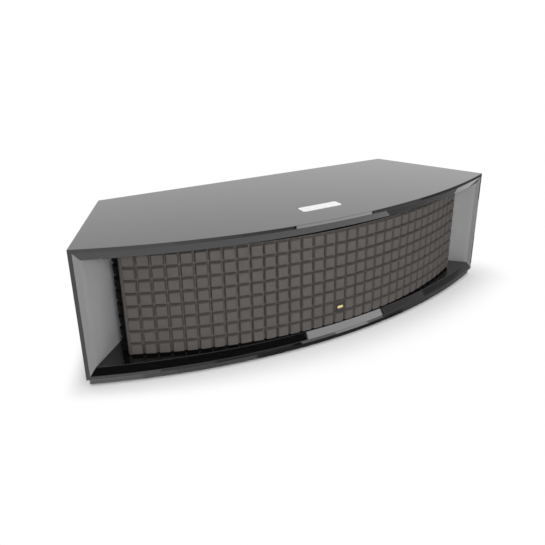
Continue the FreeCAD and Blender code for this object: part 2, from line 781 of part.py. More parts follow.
def cone(prefix):
    """Cone with its dust cap and the coil former behind it."""
    skin = "Sizes.%s_skin" % prefix
    hole = "(%s / 2 - 4 * %s)" % (CUTOUT[prefix], skin)
    edge = "(%s - 2 * Sizes.%s_roll - 2 * Sizes.seat_gap)" % (hole, prefix)
    depth = "Sizes.%s_cone_depth" % prefix
    coil = "(Sizes.%s_coil / 2)" % prefix
    bore = "%s - %s" % (coil, skin)
    cap = "Sizes.%s_cap" % prefix
    end = "(Sizes.%s_depth + Sizes.%s_travel)" % (prefix, prefix)
    return [("0", cap), (coil, "%s - %s" % (depth, skin)), (edge, "0"), (edge, skin),
            (coil, "%s + %s" % (depth, skin)), (coil, end), (bore, end), (bore, depth),
            ("0", "%s + %s" % (cap, skin))]


def surround(prefix):
    """Half-round rubber roll between the cone and the frame."""
    skin = "Sizes.%s_skin" % prefix
    outer = "(%s / 2 - Sizes.seat_gap - 4 * %s)" % (CUTOUT[prefix], skin)
    roll = "Sizes.%s_roll" % prefix
    inner = "(%s - 2 * %s)" % (outer, roll)
    middle = "%s - %s" % (outer, roll)
    corners = [(inner, "0"), (outer, "0"),
               ("%s - %s" % (outer, skin), "0"), ("%s + %s" % (inner, skin), "0")]
    arcs = {0: (roll, middle, "0", 1), 2: ("%s - %s" % (roll, skin), middle, "0", -1)}
    return corners, arcs


def magnet(prefix):
    """Ring magnet, pole and back plate, with the gap that the coil runs in."""
    rim = "Sizes.%s_magnet / 2" % prefix
    front = "Sizes.%s_depth" % prefix
    back = "(Sizes.%s_depth + Sizes.%s_magnet_height)" % (prefix, prefix)
    well = "(%s - Sizes.%s_yoke_thick)" % (back, prefix)
    coil = "Sizes.%s_coil / 2" % prefix
    gap = "(2 * Sizes.%s_skin)" % prefix
    pole = "%s - %s" % (coil, gap)
    ring_bore = "%s + %s" % (coil, gap)
    return [("0", front), (pole, front), (pole, well), (ring_bore, well), (ring_bore, front),
            (rim, front), (rim, well), ("%s - %s" % (rim, gap), back), ("0", back)]


def cone_unit_pieces(prefix, name):
    """Pieces of a cone unit; a midrange has its magnet riveted to its frame."""
    frame = turned(name + "_basket", basket(prefix))
    open_windows(frame, prefix)
    motor = turned(name + "_magnet", magnet(prefix))
    moving = [(turned(name + "_cone", cone(prefix)), "_cone"),
              (turned(name + "_surround", *surround(prefix)), "_surround")]
    if prefix == "mid":
        return moving + [(combine("Part::MultiFuse", name + "_frame", [frame, motor]), "_frame")]
    return moving + [(frame, "_basket"), (motor, "_magnet")]


def seat_tool(prefix, name):
    """What is cut from the baffle for one unit: its rebate and its hole."""
    flange = "%s / 2 + Sizes.seat_gap" % FLANGE[prefix]
    cutout = "%s / 2" % CUTOUT[prefix]
    rest = "Sizes.%s_rest" % prefix
    ahead = "0 - Sizes.baffle_board"
    through = "2 * Sizes.baffle_board"
    half = [("0", ahead), (flange, ahead), (flange, rest), (cutout, rest), (cutout, through), ("0", through)]
    return turned(name, half)


def screw_ring(prefix, name):
    """Screw heads round a unit's flange."""
    body = new_body(name)
    sketch = sketch_on(body, "XZ_Plane")
    reach = "((%s - Sizes.driver_screw) / 2 - Sizes.seat_gap)" % FLANGE[prefix]
    count = int(value("Sizes.%s_screws" % prefix))
    for index in range(count):
        angle = "(180 * %d / Sizes.%s_screws)" % (2 * index + 1, prefix)
        ring(sketch, "%s * cos%s" % (reach, angle), "%s * sin%s" % (reach, angle), "Sizes.driver_screw")
    pad(body, sketch, "Sizes.driver_screw_height")
    return body


def tweeter_pieces(name):
    """Faceplate with a shallow horn, soft dome and magnet."""
    flange = "Sizes.tweeter_flange / 2"
    rest = "Sizes.tweeter_rest"
    throat = "(Sizes.tweeter_dome / 2 + Sizes.seat_gap)"
    collar = "(Sizes.tweeter_cutout / 2 - Sizes.seat_gap)"
    deep = "(2 * Sizes.tweeter_rest)"
    face = [("Sizes.tweeter_horn / 2", "0"), (flange, "0"), (flange, rest),
            (collar, rest), (collar, deep), (throat, deep)]
    shell = "Sizes.tweeter_shell"
    dome_radius = "Sizes.tweeter_dome / 2"
    inner_radius = "(%s - %s)" % (dome_radius, shell)
    dome = [("0", "%s - %s" % (deep, dome_radius)), (dome_radius, deep), (inner_radius, deep),
            ("0", "%s - %s" % (deep, inner_radius))]
    dome_arcs = {0: (dome_radius, "0", deep, 1), 2: (inner_radius, "0", deep, -1)}
    rim = "Sizes.tweeter_magnet / 2"
    back = "%s + Sizes.tweeter_magnet_height" % deep
    motor = [("0", deep), (rim, deep), (rim, back + " - " + shell), (rim + " - " + shell, back), ("0", back)]
    return [(turned(name + "_faceplate", face), "_faceplate"),
            (turned(name + "_dome", dome, dome_arcs), "_dome"),
            (turned(name + "_magnet", motor), "_magnet")]


def units(pegs):
    """All eight loudspeaker units, the screws that hold them and the baffle they sit in."""
    tools = []
    screws = []
    for side, sign in (("left", -1), ("right", 1)):
        lean = "%d * Sizes.facet_angle" % sign

        def on_facet(along):
            x = "%d * (Worked.facet_x + %s * cos(Sizes.facet_angle))" % (sign, along)
            y = "Worked.baffle_y + %s * sin(Sizes.facet_angle)" % along
            return x, y

        woofer_place = dict(x="%d * Worked.facet_x / 2" % sign, y="Worked.baffle_y", z="Worked.mid_z")
        spots = [("woofer", side + "_woofer", woofer_place)]
        for level, step in (("lower", -1), ("upper", 1)):
            x, y = on_facet("Worked.mid_along")
            spot = dict(x=x, y=y, z="Worked.mid_z + %d * Sizes.mid_spread / 2" % step, turn=lean)
            spots.append(("mid", "%s_%s_midrange" % (side, level), spot))
        x, y = on_facet("Worked.tweeter_along")
        spots.append(("tweeter", side + "_tweeter", dict(x=x, y=y, z="Worked.mid_z", turn=lean)))
        for prefix, name, spot in spots:
            if prefix == "tweeter":
                pieces = tweeter_pieces(name)
            else:
                pieces = cone_unit_pieces(prefix, name)
            for piece, ending in pieces:
                place(piece, **spot)
                node(piece, name + ending)
            tool = seat_tool(prefix, name + "_seat")
            place(tool, **spot)
            tools.append(tool)
            heads = screw_ring(prefix, name + "_screws")
            place(heads, **spot)
            screws.append(heads)
    node(combine("Part::Compound", "driver_screws", screws), "driver_screws")
    bend_x = "Worked.facet_x - Sizes.baffle_board * tan(Sizes.facet_angle / 2)"
    right = [("Worked.facet_x", "Worked.baffle_y"), ("Worked.cheek_x", "Worked.cheek_y"),
             ("Worked.cheek_back_x", "Worked.cheek_back_y"),
             (bend_x, "Worked.baffle_y + Sizes.baffle_board")]
    left = [(minus(x), y) for x, y in reversed(right)]
    board = slab("baffle_board", right + left, "Worked.floor_z", "Worked.bay_height")
    seats = combine("Part::MultiFuse", "baffle_seats", tools + pegs)
    node(pair("Part::Cut", "front_baffle", board, seats), "front_baffle")


# Rear panel with its ports, plate, sockets and electronics

def port_profile():
    bore = "Sizes.port_bore / 2"
    outer = "(%s + Sizes.port_wall)" % bore
    flare = "Sizes.port_flare"
    flange = "Sizes.port_flange / 2"
    lip = "Sizes.port_wall"
    corners = [(bore, "0 - Sizes.port_length"), (outer, "0 - Sizes.port_length"), (outer, "0"),
               (flange, "0"), (flange, lip), ("%s + %s" % (bore, flare), lip),
               (bore, "%s - %s" % (lip, flare))]
    arcs = {5: (flare, "%s + %s" % (bore, flare), "%s - %s" % (lip, flare), 1)}
    return corners, arcs


def rear():
    front_x = "Worked.panel_x + Worked.side_slope * Sizes.rear_board"
    back_x = "Worked.panel_x"
    corners = [(minus(front_x), "Worked.panel_front"), (front_x, "Worked.panel_front"),
               (back_x, "Worked.panel_back"), (minus(back_x), "Worked.panel_back")]
    panel = slab("rear_board", corners, "Worked.floor_z", "Worked.bay_height")
    width = "Sizes.plate_width"
    height = "Sizes.plate_height"
    window_width = "(%s - 2 * Sizes.plate_lap)" % width
    window_height = "(%s - 2 * Sizes.plate_lap)" % height
    window = block("plate_window", "0", "Worked.panel_front - Sizes.rear_board",
                   "Worked.mid_z - %s / 2" % window_height,
                   window_width, "3 * Sizes.rear_board", window_height)
    gap = "2 * Sizes.seat_gap"
    rebate = block("plate_rebate", "0", "Worked.plate_y", "Worked.mid_z - (%s + %s) / 2" % (height, gap),
                   "%s + %s" % (width, gap), "Sizes.rear_board", "%s + %s" % (height, gap))
    openings = [window, rebate]
    for side, sign in (("left", -1), ("right", 1)):
        x = "%d * Worked.port_x" % sign
        tube = turned(side + "_port_tube", *port_profile())
        place(tube, x, "Worked.panel_back", "Worked.mid_z")
        node(tube, side + "_port_tube")
        openings.append(rod(side + "_port_hole", x, "Worked.panel_back + Sizes.rear_board", "Worked.mid_z",
                            "Sizes.port_bore + 2 * (Sizes.port_wall + Sizes.seat_gap)",
                            "3 * Sizes.rear_board"))
    all_openings = combine("Part::MultiFuse", "rear_openings", openings)
    node(pair("Part::Cut", "rear_panel", panel, all_openings), "rear_panel")


def socket_x(name):
    return "%s * Sizes.socket_pitch" % SOCKET_COLUMNS[name]


def plate_and_sockets():
    """Aluminium plate with posts behind it, and the sockets that pass through it."""
    plate = block("plate_sheet", "0", "Worked.plate_y", "Worked.mid_z - Sizes.plate_height / 2",
                  "Sizes.plate_width", "Sizes.plate_thick", "Sizes.plate_height")
    posts = []
    for sx in (-1, 1):
        for sz in (-1, 1):
            x = "%d * (Sizes.circuit_width - Sizes.post_size) / 2" % sx
            z = "Worked.mid_z + %d * (Sizes.circuit_height - Sizes.post_size) / 2" % sz
            posts.append(rod("post_%d_%d" % (sx + 2, sz + 2), x, "Worked.plate_y", z,
                             "Sizes.post_size", "Sizes.post_length"))
    back = "(Worked.plate_y + Sizes.plate_thick)"
    level = "Worked.socket_z"
    rca = []
    holes = []
    for side in ("left", "right"):
        x = socket_x("rca_" + side)
        shell = rod("rca_shell_" + side, x, back + " + Sizes.rca_length", level,
                    "Sizes.rca_body", "Sizes.rca_length + Sizes.socket_depth")
        bore = rod("rca_bore_" + side, x, back + " + 2 * Sizes.rca_length", level,
                   "Sizes.rca_bore", "2 * Sizes.rca_length + Sizes.plate_thick")
        rca.append(pair("Part::Cut", "rca_socket_" + side, shell, bore))
        holes.append(rod("rca_hole_" + side, x, back + " + Sizes.plate_thick", level,
                         "Sizes.rca_body", "3 * Sizes.plate_thick"))
    node(combine("Part::Compound", "rca_sockets", rca), "rca_sockets")
    jack_x = socket_x("jack")
    jack = rod("jack_shell", jack_x, back + " + Sizes.socket_wall", level,
               "Sizes.jack_body", "Sizes.socket_wall + Sizes.socket_depth")
    jack_bore = rod("jack_bore_tool", jack_x, back + " + 2 * Sizes.socket_wall", level,
                    "Sizes.jack_bore", "Sizes.socket_depth")
    node(pair("Part::Cut", "jack_socket", jack, jack_bore), "jack_socket")
    holes.append(rod("jack_hole", jack_x, back + " + Sizes.plate_thick", level,
                     "Sizes.jack_body", "3 * Sizes.plate_thick"))
    node(rod("ground_post", socket_x("ground"), back + " + Sizes.ground_length", level,
             "Sizes.ground_post", "Sizes.ground_length"), "ground_post")

    def boxed(label, x, width, height, flange):
        """A rectangular socket with a cavity, in a hole of its own size."""
        low = "%s - (%s) / 2" % (level, height)
        deep = back + " - Sizes.socket_depth"
        body = block(label + "_shell", x, deep, low, width, "Sizes.socket_depth + " + flange, height)
        cavity = block(label + "_cavity", x, deep + " + Sizes.socket_wall", low + " + Sizes.socket_wall",
                       "%s - 2 * Sizes.socket_wall" % width, "Sizes.socket_depth + 2 * Sizes.inlet_flange",
                       "%s - 2 * Sizes.socket_wall" % height)
        node(pair("Part::Cut", label, body, cavity), label)
        holes.append(block(label + "_hole", x, "Worked.plate_y - Sizes.plate_thick", low,
                           width, "3 * Sizes.plate_thick", height))

    boxed("network_socket", socket_x("network"), "Sizes.network_width", "Sizes.network_height",
          "Sizes.socket_wall")
    boxed("mains_inlet", socket_x("mains"), "Sizes.inlet_width", "Sizes.inlet_height", "Sizes.inlet_flange")
    sheet = combine("Part::MultiFuse", "plate_with_posts", [plate] + posts)
    all_holes = combine("Part::MultiFuse", "socket_holes", holes)
    node(pair("Part::Cut", "input_panel", sheet, all_holes), "input_panel")


def electronics():
    """Boards on the plate's posts, a finned sink on the plate and the radio module."""
    face = "(Worked.circuit_y - Sizes.board_thick)"
    circuit = block("circuit_board", "0", face, "Worked.mid_z - Sizes.circuit_height / 2",
                    "Sizes.circuit_width", "Sizes.board_thick", "Sizes.circuit_height")
    cans = []
    for column in (-2, -1, 0):
        cans.append(rod("capacitor_%d" % (column + 3), "%d * Sizes.can_pitch" % column, face, "Worked.mid_z",
                        "Sizes.can_diameter", "Sizes.can_diameter"))
    node(combine("Part::MultiFuse", "amplifier_board", [circuit] + cans), "amplifier_board")
    supply_x = "(Sizes.circuit_width - Sizes.supply_size) / 2"
    supply = block("power_supply", supply_x, face + " - Sizes.post_length",
                   "Worked.mid_z - Sizes.supply_size / 2",
                   "Sizes.supply_size", "Sizes.post_length", "Sizes.supply_size")
    node(supply, "power_supply")
    radio = block("wireless_module", minus(supply_x), face + " - 2 * Sizes.board_thick",
                  "Worked.mid_z + Sizes.radio_lift",
                  "Sizes.radio_width", "2 * Sizes.board_thick", "Sizes.radio_height")
    node(radio, "wireless_module")
    body = new_body("heat_sink")
    sketch = sketch_on(body, "XY_Plane")
    count = int(value("Sizes.fin_count"))
    root = "(0 - Sizes.sink_base)"
    tip = "(0 - Sizes.post_length)"
    pitch = "((Sizes.sink_width - Sizes.fin_thick) / (Sizes.fin_count - 1))"
    profile = [("Sizes.sink_width / 2", "0"), ("0 - Sizes.sink_width / 2", "0")]
    for fin in range(count):
        left = "(%d * %s - Sizes.sink_width / 2)" % (fin, pitch)
        right = left + " + Sizes.fin_thick"
        profile += [(left, root)] if fin else []
        profile += [(left, tip), (right, tip)]
        profile += [(right, root)] if fin < count - 1 else []
    draw(sketch, profile)
    pad(body, sketch, "Sizes.sink_height")
    sink_top = "Worked.mid_z + Sizes.circuit_height / 2 - Sizes.post_size"
    place(body, "0", "Worked.plate_y", sink_top + " - Sizes.sink_height")
    node(body, "heat_sink")


def rear_screws():
    """Screw heads round the rear panel and round the plate."""
    body = new_body("rear_screws")
    sketch = sketch_on(body, "XZ_Plane", "0 - Worked.panel_back")
    edge_x = "(Worked.panel_x - Sizes.rear_screw_margin)"
    edge_z = "(Worked.bay_height / 2 - Sizes.rear_screw_margin)"
    plate_x = "((Sizes.plate_width - Sizes.plate_lap) / 2)"
    plate_z = "((Sizes.plate_height - Sizes.plate_lap) / 2)"
    for sz in (-1, 1):
        edge_level = "Worked.mid_z + %d * %s" % (sz, edge_z)
        plate_level = "Worked.mid_z + %d * %s" % (sz, plate_z)
        for step in (-2, -1, 0, 1, 2):
            ring(sketch, "%d * %s / 2" % (step, edge_x), edge_level, "Sizes.rear_screw")
        for step in (-1, 0, 1):
            ring(sketch, "%d * %s" % (step, plate_x), plate_level, "Sizes.rear_screw")
    pad(body, sketch, "Sizes.rear_screw_height", back=True)
    node(body, "rear_screws")


case()
touch_strip()
base()
foam()
pegs = grille_frame()
badge()
units(pegs)
rear()
plate_and_sockets()
electronics()
rear_screws()
doc.recompute()

faults = [item.Name for item in doc.Objects if "Invalid" in item.State or "Error" in item.State]
faults += [name for name, item in nodes.items() if item.Shape.isNull() or not item.Shape.isValid()]
if faults:
    raise RuntimeError("pieces that failed: " + ", ".join(faults))

os.makedirs("parts", exist_ok=True)
for name, item in nodes.items():
    item.Shape.exportStep("parts/%s.step" % name)
    print("%-28s %2d solid(s) %10.0f mm3" % (name, len(item.Shape.Solids), item.Shape.Volume))
print(len(nodes), "pieces")
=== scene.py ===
# %% [markdown]
# # A wireless speaker in gloss black lacquer
# The speaker is a wide, low case with a bowed front. Its boards are lacquered black and polished
# until they mirror the room, and a block of sculpted foam, cut into square tiles, fills the front.
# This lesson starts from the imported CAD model, keeps what is already right, and rebuilds the pieces
# whose edges and surfaces decide how the speaker looks.

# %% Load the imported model
import json
import math
import bmesh
import bpy
from mathutils import Euler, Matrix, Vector


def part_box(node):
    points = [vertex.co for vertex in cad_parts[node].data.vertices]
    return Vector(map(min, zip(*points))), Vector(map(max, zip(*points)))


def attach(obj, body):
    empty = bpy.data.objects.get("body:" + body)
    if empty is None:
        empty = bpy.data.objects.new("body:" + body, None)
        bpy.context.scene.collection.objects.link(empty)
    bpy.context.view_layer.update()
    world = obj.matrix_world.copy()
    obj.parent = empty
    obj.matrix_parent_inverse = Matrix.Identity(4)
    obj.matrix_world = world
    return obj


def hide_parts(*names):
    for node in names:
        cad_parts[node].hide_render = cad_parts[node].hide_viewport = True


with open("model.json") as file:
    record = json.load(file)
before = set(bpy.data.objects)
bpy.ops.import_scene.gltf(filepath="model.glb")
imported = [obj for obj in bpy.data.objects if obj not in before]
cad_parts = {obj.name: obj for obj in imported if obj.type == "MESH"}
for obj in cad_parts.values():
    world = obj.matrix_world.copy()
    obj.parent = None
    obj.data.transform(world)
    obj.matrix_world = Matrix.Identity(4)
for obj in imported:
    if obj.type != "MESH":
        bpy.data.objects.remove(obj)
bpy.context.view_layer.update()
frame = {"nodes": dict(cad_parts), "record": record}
scene = bpy.context.scene
MM = 0.001
print("CAD nodes:", len(frame["nodes"]))

# %% [markdown]
# ## The camera
# A photograph fixes a lens, a place and a small shift of the picture. The place and lens here come
# from the long edges of the case, which run to two clear vanishing points.

# %% Camera
look_down = 21.79
look_right = 31.26
camera_data = bpy.data.cameras.new("camera")
camera_data.sensor_width = 36
camera_data.lens = 38.62
camera_data.shift_x = -0.0368
camera_data.shift_y = -0.0405
camera = bpy.data.objects.new("camera", camera_data)
camera.location = (-0.51078, -0.8333, 0.50292)
camera.rotation_euler = Euler((math.radians(90 - look_down), 0, math.radians(-look_right)))
scene.collection.objects.link(camera)
scene.camera = camera
print("camera at", tuple(camera.location))

# %% [markdown]
# ## Node trees written as expressions
# Shader and geometry trees are easier to read as sums and products than as long lists of nodes and
# links. A Value wraps one output socket, and arithmetic on it adds Math nodes to the same tree.

# %% A socket that can be added and multiplied
class Value:
    """One output socket; arithmetic on it adds Math nodes."""

    def __init__(self, tree, socket):
        self.tree = tree
        self.socket = socket

    def math(self, operation, first, second=0.0):
        settings = {"operation": operation}
        return add_node(self.tree, "ShaderNodeMath", settings, {0: first, 1: second})

    def apply(self, operation, other=0.0):
        """The result of an operation that has no sign in Python, such as SQRT or MAXIMUM."""
        return self.math(operation, self, other)

    def __add__(self, other):
        return self.math("ADD", self, other)

    def __sub__(self, other):
        return self.math("SUBTRACT", self, other)

    def __mul__(self, other):
        return self.math("MULTIPLY", self, other)

    def __truediv__(self, other):
        return self.math("DIVIDE", self, other)

    def __radd__(self, other):
        return self.math("ADD", other, self)

    def __rsub__(self, other):
        return self.math("SUBTRACT", other, self)

    def __rmul__(self, other):
        return self.math("MULTIPLY", other, self)

    def __rtruediv__(self, other):
        return self.math("DIVIDE", other, self)

    def __abs__(self):
        return self.math("ABSOLUTE", self)

    def __gt__(self, other):
        return self.math("GREATER_THAN", self, other)

    def __lt__(self, other):
        return self.math("LESS_THAN", self, other)


# %% Any other node
def link(item, node, socket):
    """Link a value into a node that is already in its tree."""
    item.tree.links.new(item.socket, node.inputs[socket])


def add_node(tree, kind, settings=None, inputs=None, output=0):
    """Add a node, set it up, fill or link its inputs, and give back one of its outputs."""
    node = tree.nodes.new(kind)
    for name, setting in (settings or {}).items():
        setattr(node, name, setting)
    for name, item in (inputs or {}).items():
        for part in item if isinstance(item, list) else [item]:
            if isinstance(part, Value):
                link(part, node, name)
            else:
                node.inputs[name].default_value = part
    return Value(tree, node.outputs[output]) if node.outputs else None


def sibling(value, output):
    """Another output of the node that a value comes from."""
    return Value(value.tree, value.socket.node.outputs[output])


# %% [markdown]
# ## Finishes
# Every finish is a Principled shader with a few constants, plus what varies over the surface: a
# mottled colour, a roughness that drifts, and a bump for grain or orange peel. All of them read
# Object coordinates, which are metres here, so a scale of 1000 means detail about a millimetre wide.

# %% Tools for finishes
def new_finish(name, **constants):
    """A material whose Principled shader has these constants; gives the material and its tree."""
    material = bpy.data.materials.new(name)
    material.use_nodes = True
    shader = material.node_tree.nodes["Principled BSDF"]
    for socket, amount in constants.items():
        shader.inputs[socket.replace("_", " ")].default_value = amount
    return material, material.node_tree


def feed(tree, socket, item):
    """Link a varying value into the Principled shader."""
    link(item, tree.nodes["Principled BSDF"], socket)


def object_place(tree):
    return add_node(tree, "ShaderNodeTexCoord", output="Object")


def axis_of(place, axis):
    return add_node(place.tree, "ShaderNodeSeparateXYZ", inputs={0: place}, output=axis)


def noise(tree, scale, detail=3.0, place=None):
    inputs = {"Vector": place or object_place(tree), "Scale": scale, "Detail": detail}
    return add_node(tree, "ShaderNodeTexNoise", inputs=inputs, output="Fac")


def bump(tree, height, strength, distance):
    inputs = {"Strength": strength, "Distance": distance, "Height": height}
    feed(tree, "Normal", add_node(tree, "ShaderNodeBump", inputs=inputs))


# %% Tools for colours and distances
def grey(level):
    return (level, level, level, 1.0)


def mix_colours(factor, first, second):
    settings = {"data_type": "RGBA"}
    inputs = {0: factor, 6: first, 7: second}
    return add_node(factor.tree, "ShaderNodeMix", settings, inputs, output=2)


def between(share, low, high):
    """A value that goes from low to high as a share goes from 0 to 1."""
    return share * (high - low) + low


def ramp(value, start, end, low=0.0, **settings):
    """A rise from a low level to 1 while a value goes from start to end."""
    inputs = {"Value": value, "From Min": start, "From Max": end, "To Min": low}
    return add_node(value.tree, "ShaderNodeMapRange", settings, inputs)


def length(first, second):
    """The length of a line that goes so far one way and so far across."""
    return (first * first + second * second).apply("SQRT")


# %% A general finish
CLOUD_SCALE = 14.0
MOTTLE = 0.12
PALE_LIFT = 0.002
ROUGHNESS_DRIFT = 0.06
GRAIN_SCALE = 900.0


def plain_finish(name, colour, roughness, **constants):
    """A moulded, painted or machined finish: slight mottling, drifting roughness and fine grain."""
    material, tree = new_finish(name, **constants)
    cloud = noise(tree, CLOUD_SCALE)
    pale = tuple(min(1.0, part * (1 + MOTTLE) + PALE_LIFT) for part in colour) + (1.0,)
    dark = tuple(part * (1 - MOTTLE) for part in colour) + (1.0,)
    feed(tree, "Base Color", mix_colours(cloud, dark, pale))
    drift = ROUGHNESS_DRIFT / 2
    feed(tree, "Roughness", between(cloud, roughness - drift, roughness + drift))
    bump(tree, noise(tree, GRAIN_SCALE, detail=2.0), strength=0.35, distance=0.02 * MM)
    return material


# %% [markdown]
# ## Lacquer
# The case has many coats of black lacquer, sanded and polished. What one sees is mostly reflection,
# so the colour is nearly black, the roughness is very low, and a clear coat carries the shine. A
# shallow, wide bump bends the reflections by a hair, as orange peel does. The cheeks beside the
# grille, and the bevel that leads to them, have a satin grey coat instead. Little light reaches the
# deep end of a cheek, so its colour is painted lighter towards the grille, painted light that keeps
# the tone nearly even. The bevel gets more light, so its grey is painted darker, painted shade.

# %% Lacquer for the case
lacquer, tree = new_finish("black_lacquer", Coat_Weight=0.35, Coat_Roughness=0.02, IOR=1.6)
cloud = noise(tree, scale=6.0)
feed(tree, "Base Color", mix_colours(cloud, grey(0.003), grey(0.006)))
feed(tree, "Roughness", between(cloud, 0.03, 0.06))
bump(tree, noise(tree, scale=160.0, detail=1.0), strength=0.05, distance=0.01 * MM)
print("made", lacquer.name)

# %% Satin lacquer for the cheeks, with distances from the speaker's middle
bevel_end = 0.3786
cheek_outer = 0.378
cheek_inner = 0.33
cloud_share = 0.05
cheek_satin, tree = new_finish("cheek_satin", IOR=1.5)
cloud = noise(tree, scale=5.0)
from_middle = abs(axis_of(object_place(tree), "X"))
depth = ramp(from_middle, cheek_outer, cheek_inner)
# The cheek's colour is painted lighter towards the grille: painted light where the foam shades the deep end.
painted_light_and_mottle = depth * depth * (1 - cloud_share) + cloud * cloud_share
cheek_colour = mix_colours(painted_light_and_mottle, grey(0.315), grey(0.66))
# The bevel's grey is darker than the cheek's: painted shade, since the bevel gets more light.
bevel_painted_shade = grey(0.205)
feed(tree, "Base Color", mix_colours(from_middle > bevel_end, cheek_colour, bevel_painted_shade))
feed(tree, "Roughness", between(cloud, 0.34, 0.42))
bump(tree, noise(tree, scale=1400.0, detail=2.0), strength=0.15, distance=0.01 * MM)
print("made", cheek_satin.name)

# %% [markdown]
# ## The case
# Four boards make the case, but the lacquer runs over their joints, so here they are one skin. The
# front follows a wide arc, with a flat rim and then a bevel that is mitred at the corners. Building
# the rings of that frame point by point keeps the arc fine enough for clean reflections, and a
# small Bevel modifier gives each edge the soft line that polishing leaves.

# %% The case's outline, from the CAD boards
case_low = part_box("bottom_panel")[0]
case_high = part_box("top_panel")[1]
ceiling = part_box("top_panel")[0].z
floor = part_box("bottom_panel")[1].z
corner_x = case_high.x
front_y = case_low.y
rear_y = case_high.y
rim_width = 5.5 * MM
bevel_depth = 5 * MM
side_inset = 15.5 * MM
front_bulge = 79 * MM
side_taper = 93.5 * MM
board = 18 * MM
bow_radius = (corner_x ** 2 + front_bulge ** 2) / (2 * front_bulge)
bow_centre = front_y + bow_radius
side_slope = side_taper / (rear_y - front_y - front_bulge)
side_thick = board * math.hypot(1, side_slope)
cheek_front = Vector((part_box("right_cheek")[1].x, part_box("right_cheek")[0].y))
print("bow radius %.1f mm" % (bow_radius / MM))


def bow(x, inset=0.0):
    """The front's Y at some X, drawn in by an inset."""
    return bow_centre - math.sqrt((bow_radius - inset) ** 2 - x ** 2)


def side_x(y, thick=0.0):
    """The right side's X at some Y, drawn in by a thickness."""
    return corner_x - thick - side_slope * (y - front_y - front_bulge)


# %% Helpers for pieces
def new_piece(name, mesh, *materials):
    """An object at the origin for a finished mesh."""
    for material in materials:
        mesh.materials.append(material)
    piece = bpy.data.objects.new(name, mesh)
    scene.collection.objects.link(piece)
    return piece


def mesh_from(name, points, faces, second_finish=()):
    """A mesh with its doubles merged and its faces pointing outwards."""
    mesh = bpy.data.meshes.new(name)
    mesh.from_pydata([tuple(point) for point in points], [], faces)
    for index in second_finish:
        mesh.polygons[index].material_index = 1
    shape = bmesh.new()
    shape.from_mesh(mesh)
    bmesh.ops.remove_doubles(shape, verts=shape.verts, dist=MM / 1000)
    bmesh.ops.recalc_face_normals(shape, faces=shape.faces)
    shape.to_mesh(mesh)
    shape.free()
    return mesh


def plain_mesh(piece):
    """Turn a piece with modifiers into a plain mesh."""
    graph = bpy.context.evaluated_depsgraph_get()
    mesh = bpy.data.meshes.new_from_object(piece.evaluated_get(graph))
    piece.modifiers.clear()
    piece.data = mesh
    return piece


def soften(piece, width, angle=14.0):
    """Round the edges and keep the flats flat."""
    modifier = piece.modifiers.new("edges", "BEVEL")
    modifier.width = width
    modifier.segments = 2
    modifier.limit_method = "ANGLE"
    modifier.angle_limit = math.radians(angle)
    modifier.harden_normals = True
    modifier.use_clamp_overlap = False
    for face in piece.data.polygons:
        face.use_smooth = True
    return plain_mesh(piece)


def place_piece(piece, slot, *nodes):
    """Fix a finished piece to the speaker, in the place of some CAD nodes."""
    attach(piece, "root")
    if nodes:
        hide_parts(*nodes)
    print(piece.name, len(piece.data.polygons), "faces")


# %% Rounded outlines
def rounded_outline(low, high, corner, steps=6):
    """A rounded rectangle, anticlockwise from the middle of its lower side."""
    middle_x = (low.x + high.x) / 2
    centres = [(high.x - corner, low.y + corner, -90), (high.x - corner, high.y - corner, 0),
               (low.x + corner, high.y - corner, 90), (low.x + corner, low.y + corner, 180)]
    outline = [(middle_x, low.y)]
    for x, y, start in centres:
        for step in range(steps + 1):
            turn = math.radians(start + 90 * step / steps)
            outline.append((x + corner * math.cos(turn), y + corner * math.sin(turn)))
        if start == 0:
            outline.append((middle_x, high.y))
    return outline


# %% Points and faces of the case's skin
ARC_STEPS = 120
skin_points = []
skin_faces = []
satin_faces = []


def spot(x, y, z):
    """Add a point and give its number."""
    skin_points.append((x, y, z))
    return len(skin_points) - 1


def ring(half, inset, z):
    """Points along the bow, from left to right."""
    line = [half * (2 * step / ARC_STEPS - 1) for step in range(ARC_STEPS + 1)]
    return [spot(x, bow(x, inset), z) for x in line]


def join_rows(first, second):
    """Faces between two rows of points."""
    for corners in zip(first, first[1:], second[1:], second):
        skin_faces.append(corners)


# %% Rims and bevels
LEVELS = {"top": (case_high.z, ceiling, -1), "bottom": (case_low.z, floor, 1)}
rings = {}
for name, (edge, inner, inwards) in LEVELS.items():
    rings[name] = [ring(corner_x, 0, edge),
                   ring(corner_x - rim_width, 0, edge + inwards * rim_width),
                   ring(corner_x - side_inset, bevel_depth, inner)]
    join_rows(rings[name][0], rings[name][1])
    join_rows(rings[name][1], rings[name][2])
print("rims and bevels:", len(skin_faces), "faces")

# %% Sides
backs = {}
for side, end in ((-1, 0), (1, ARC_STEPS)):
    for name, (edge, inner, _) in LEVELS.items():
        backs[side, name] = [spot(side * side_x(rear_y), rear_y, edge),
                             spot(side * side_x(rear_y, side_thick), rear_y, inner),
                             spot(side * cheek_front.x, cheek_front.y, inner)]
    top_back, top_inside, top_cheek = backs[side, "top"]
    low_back, low_inside, low_cheek = backs[side, "bottom"]
    top_edge, top_rim, top_bevel = [line[end] for line in rings["top"]]
    low_edge, low_rim, low_bevel = [line[end] for line in rings["bottom"]]
    skin_faces.append((top_edge, low_edge, low_rim, top_rim))
    satin_faces += [len(skin_faces), len(skin_faces) + 1]
    skin_faces.append((top_rim, low_rim, low_bevel, top_bevel))
    skin_faces.append((top_bevel, low_bevel, low_cheek, top_cheek))
    skin_faces.append((top_edge, low_edge, low_back, top_back))
    skin_faces.append((top_cheek, low_cheek, low_inside, top_inside))
    skin_faces.append((top_back, low_back, low_inside, top_inside))
print("with the sides:", len(skin_faces), "faces")

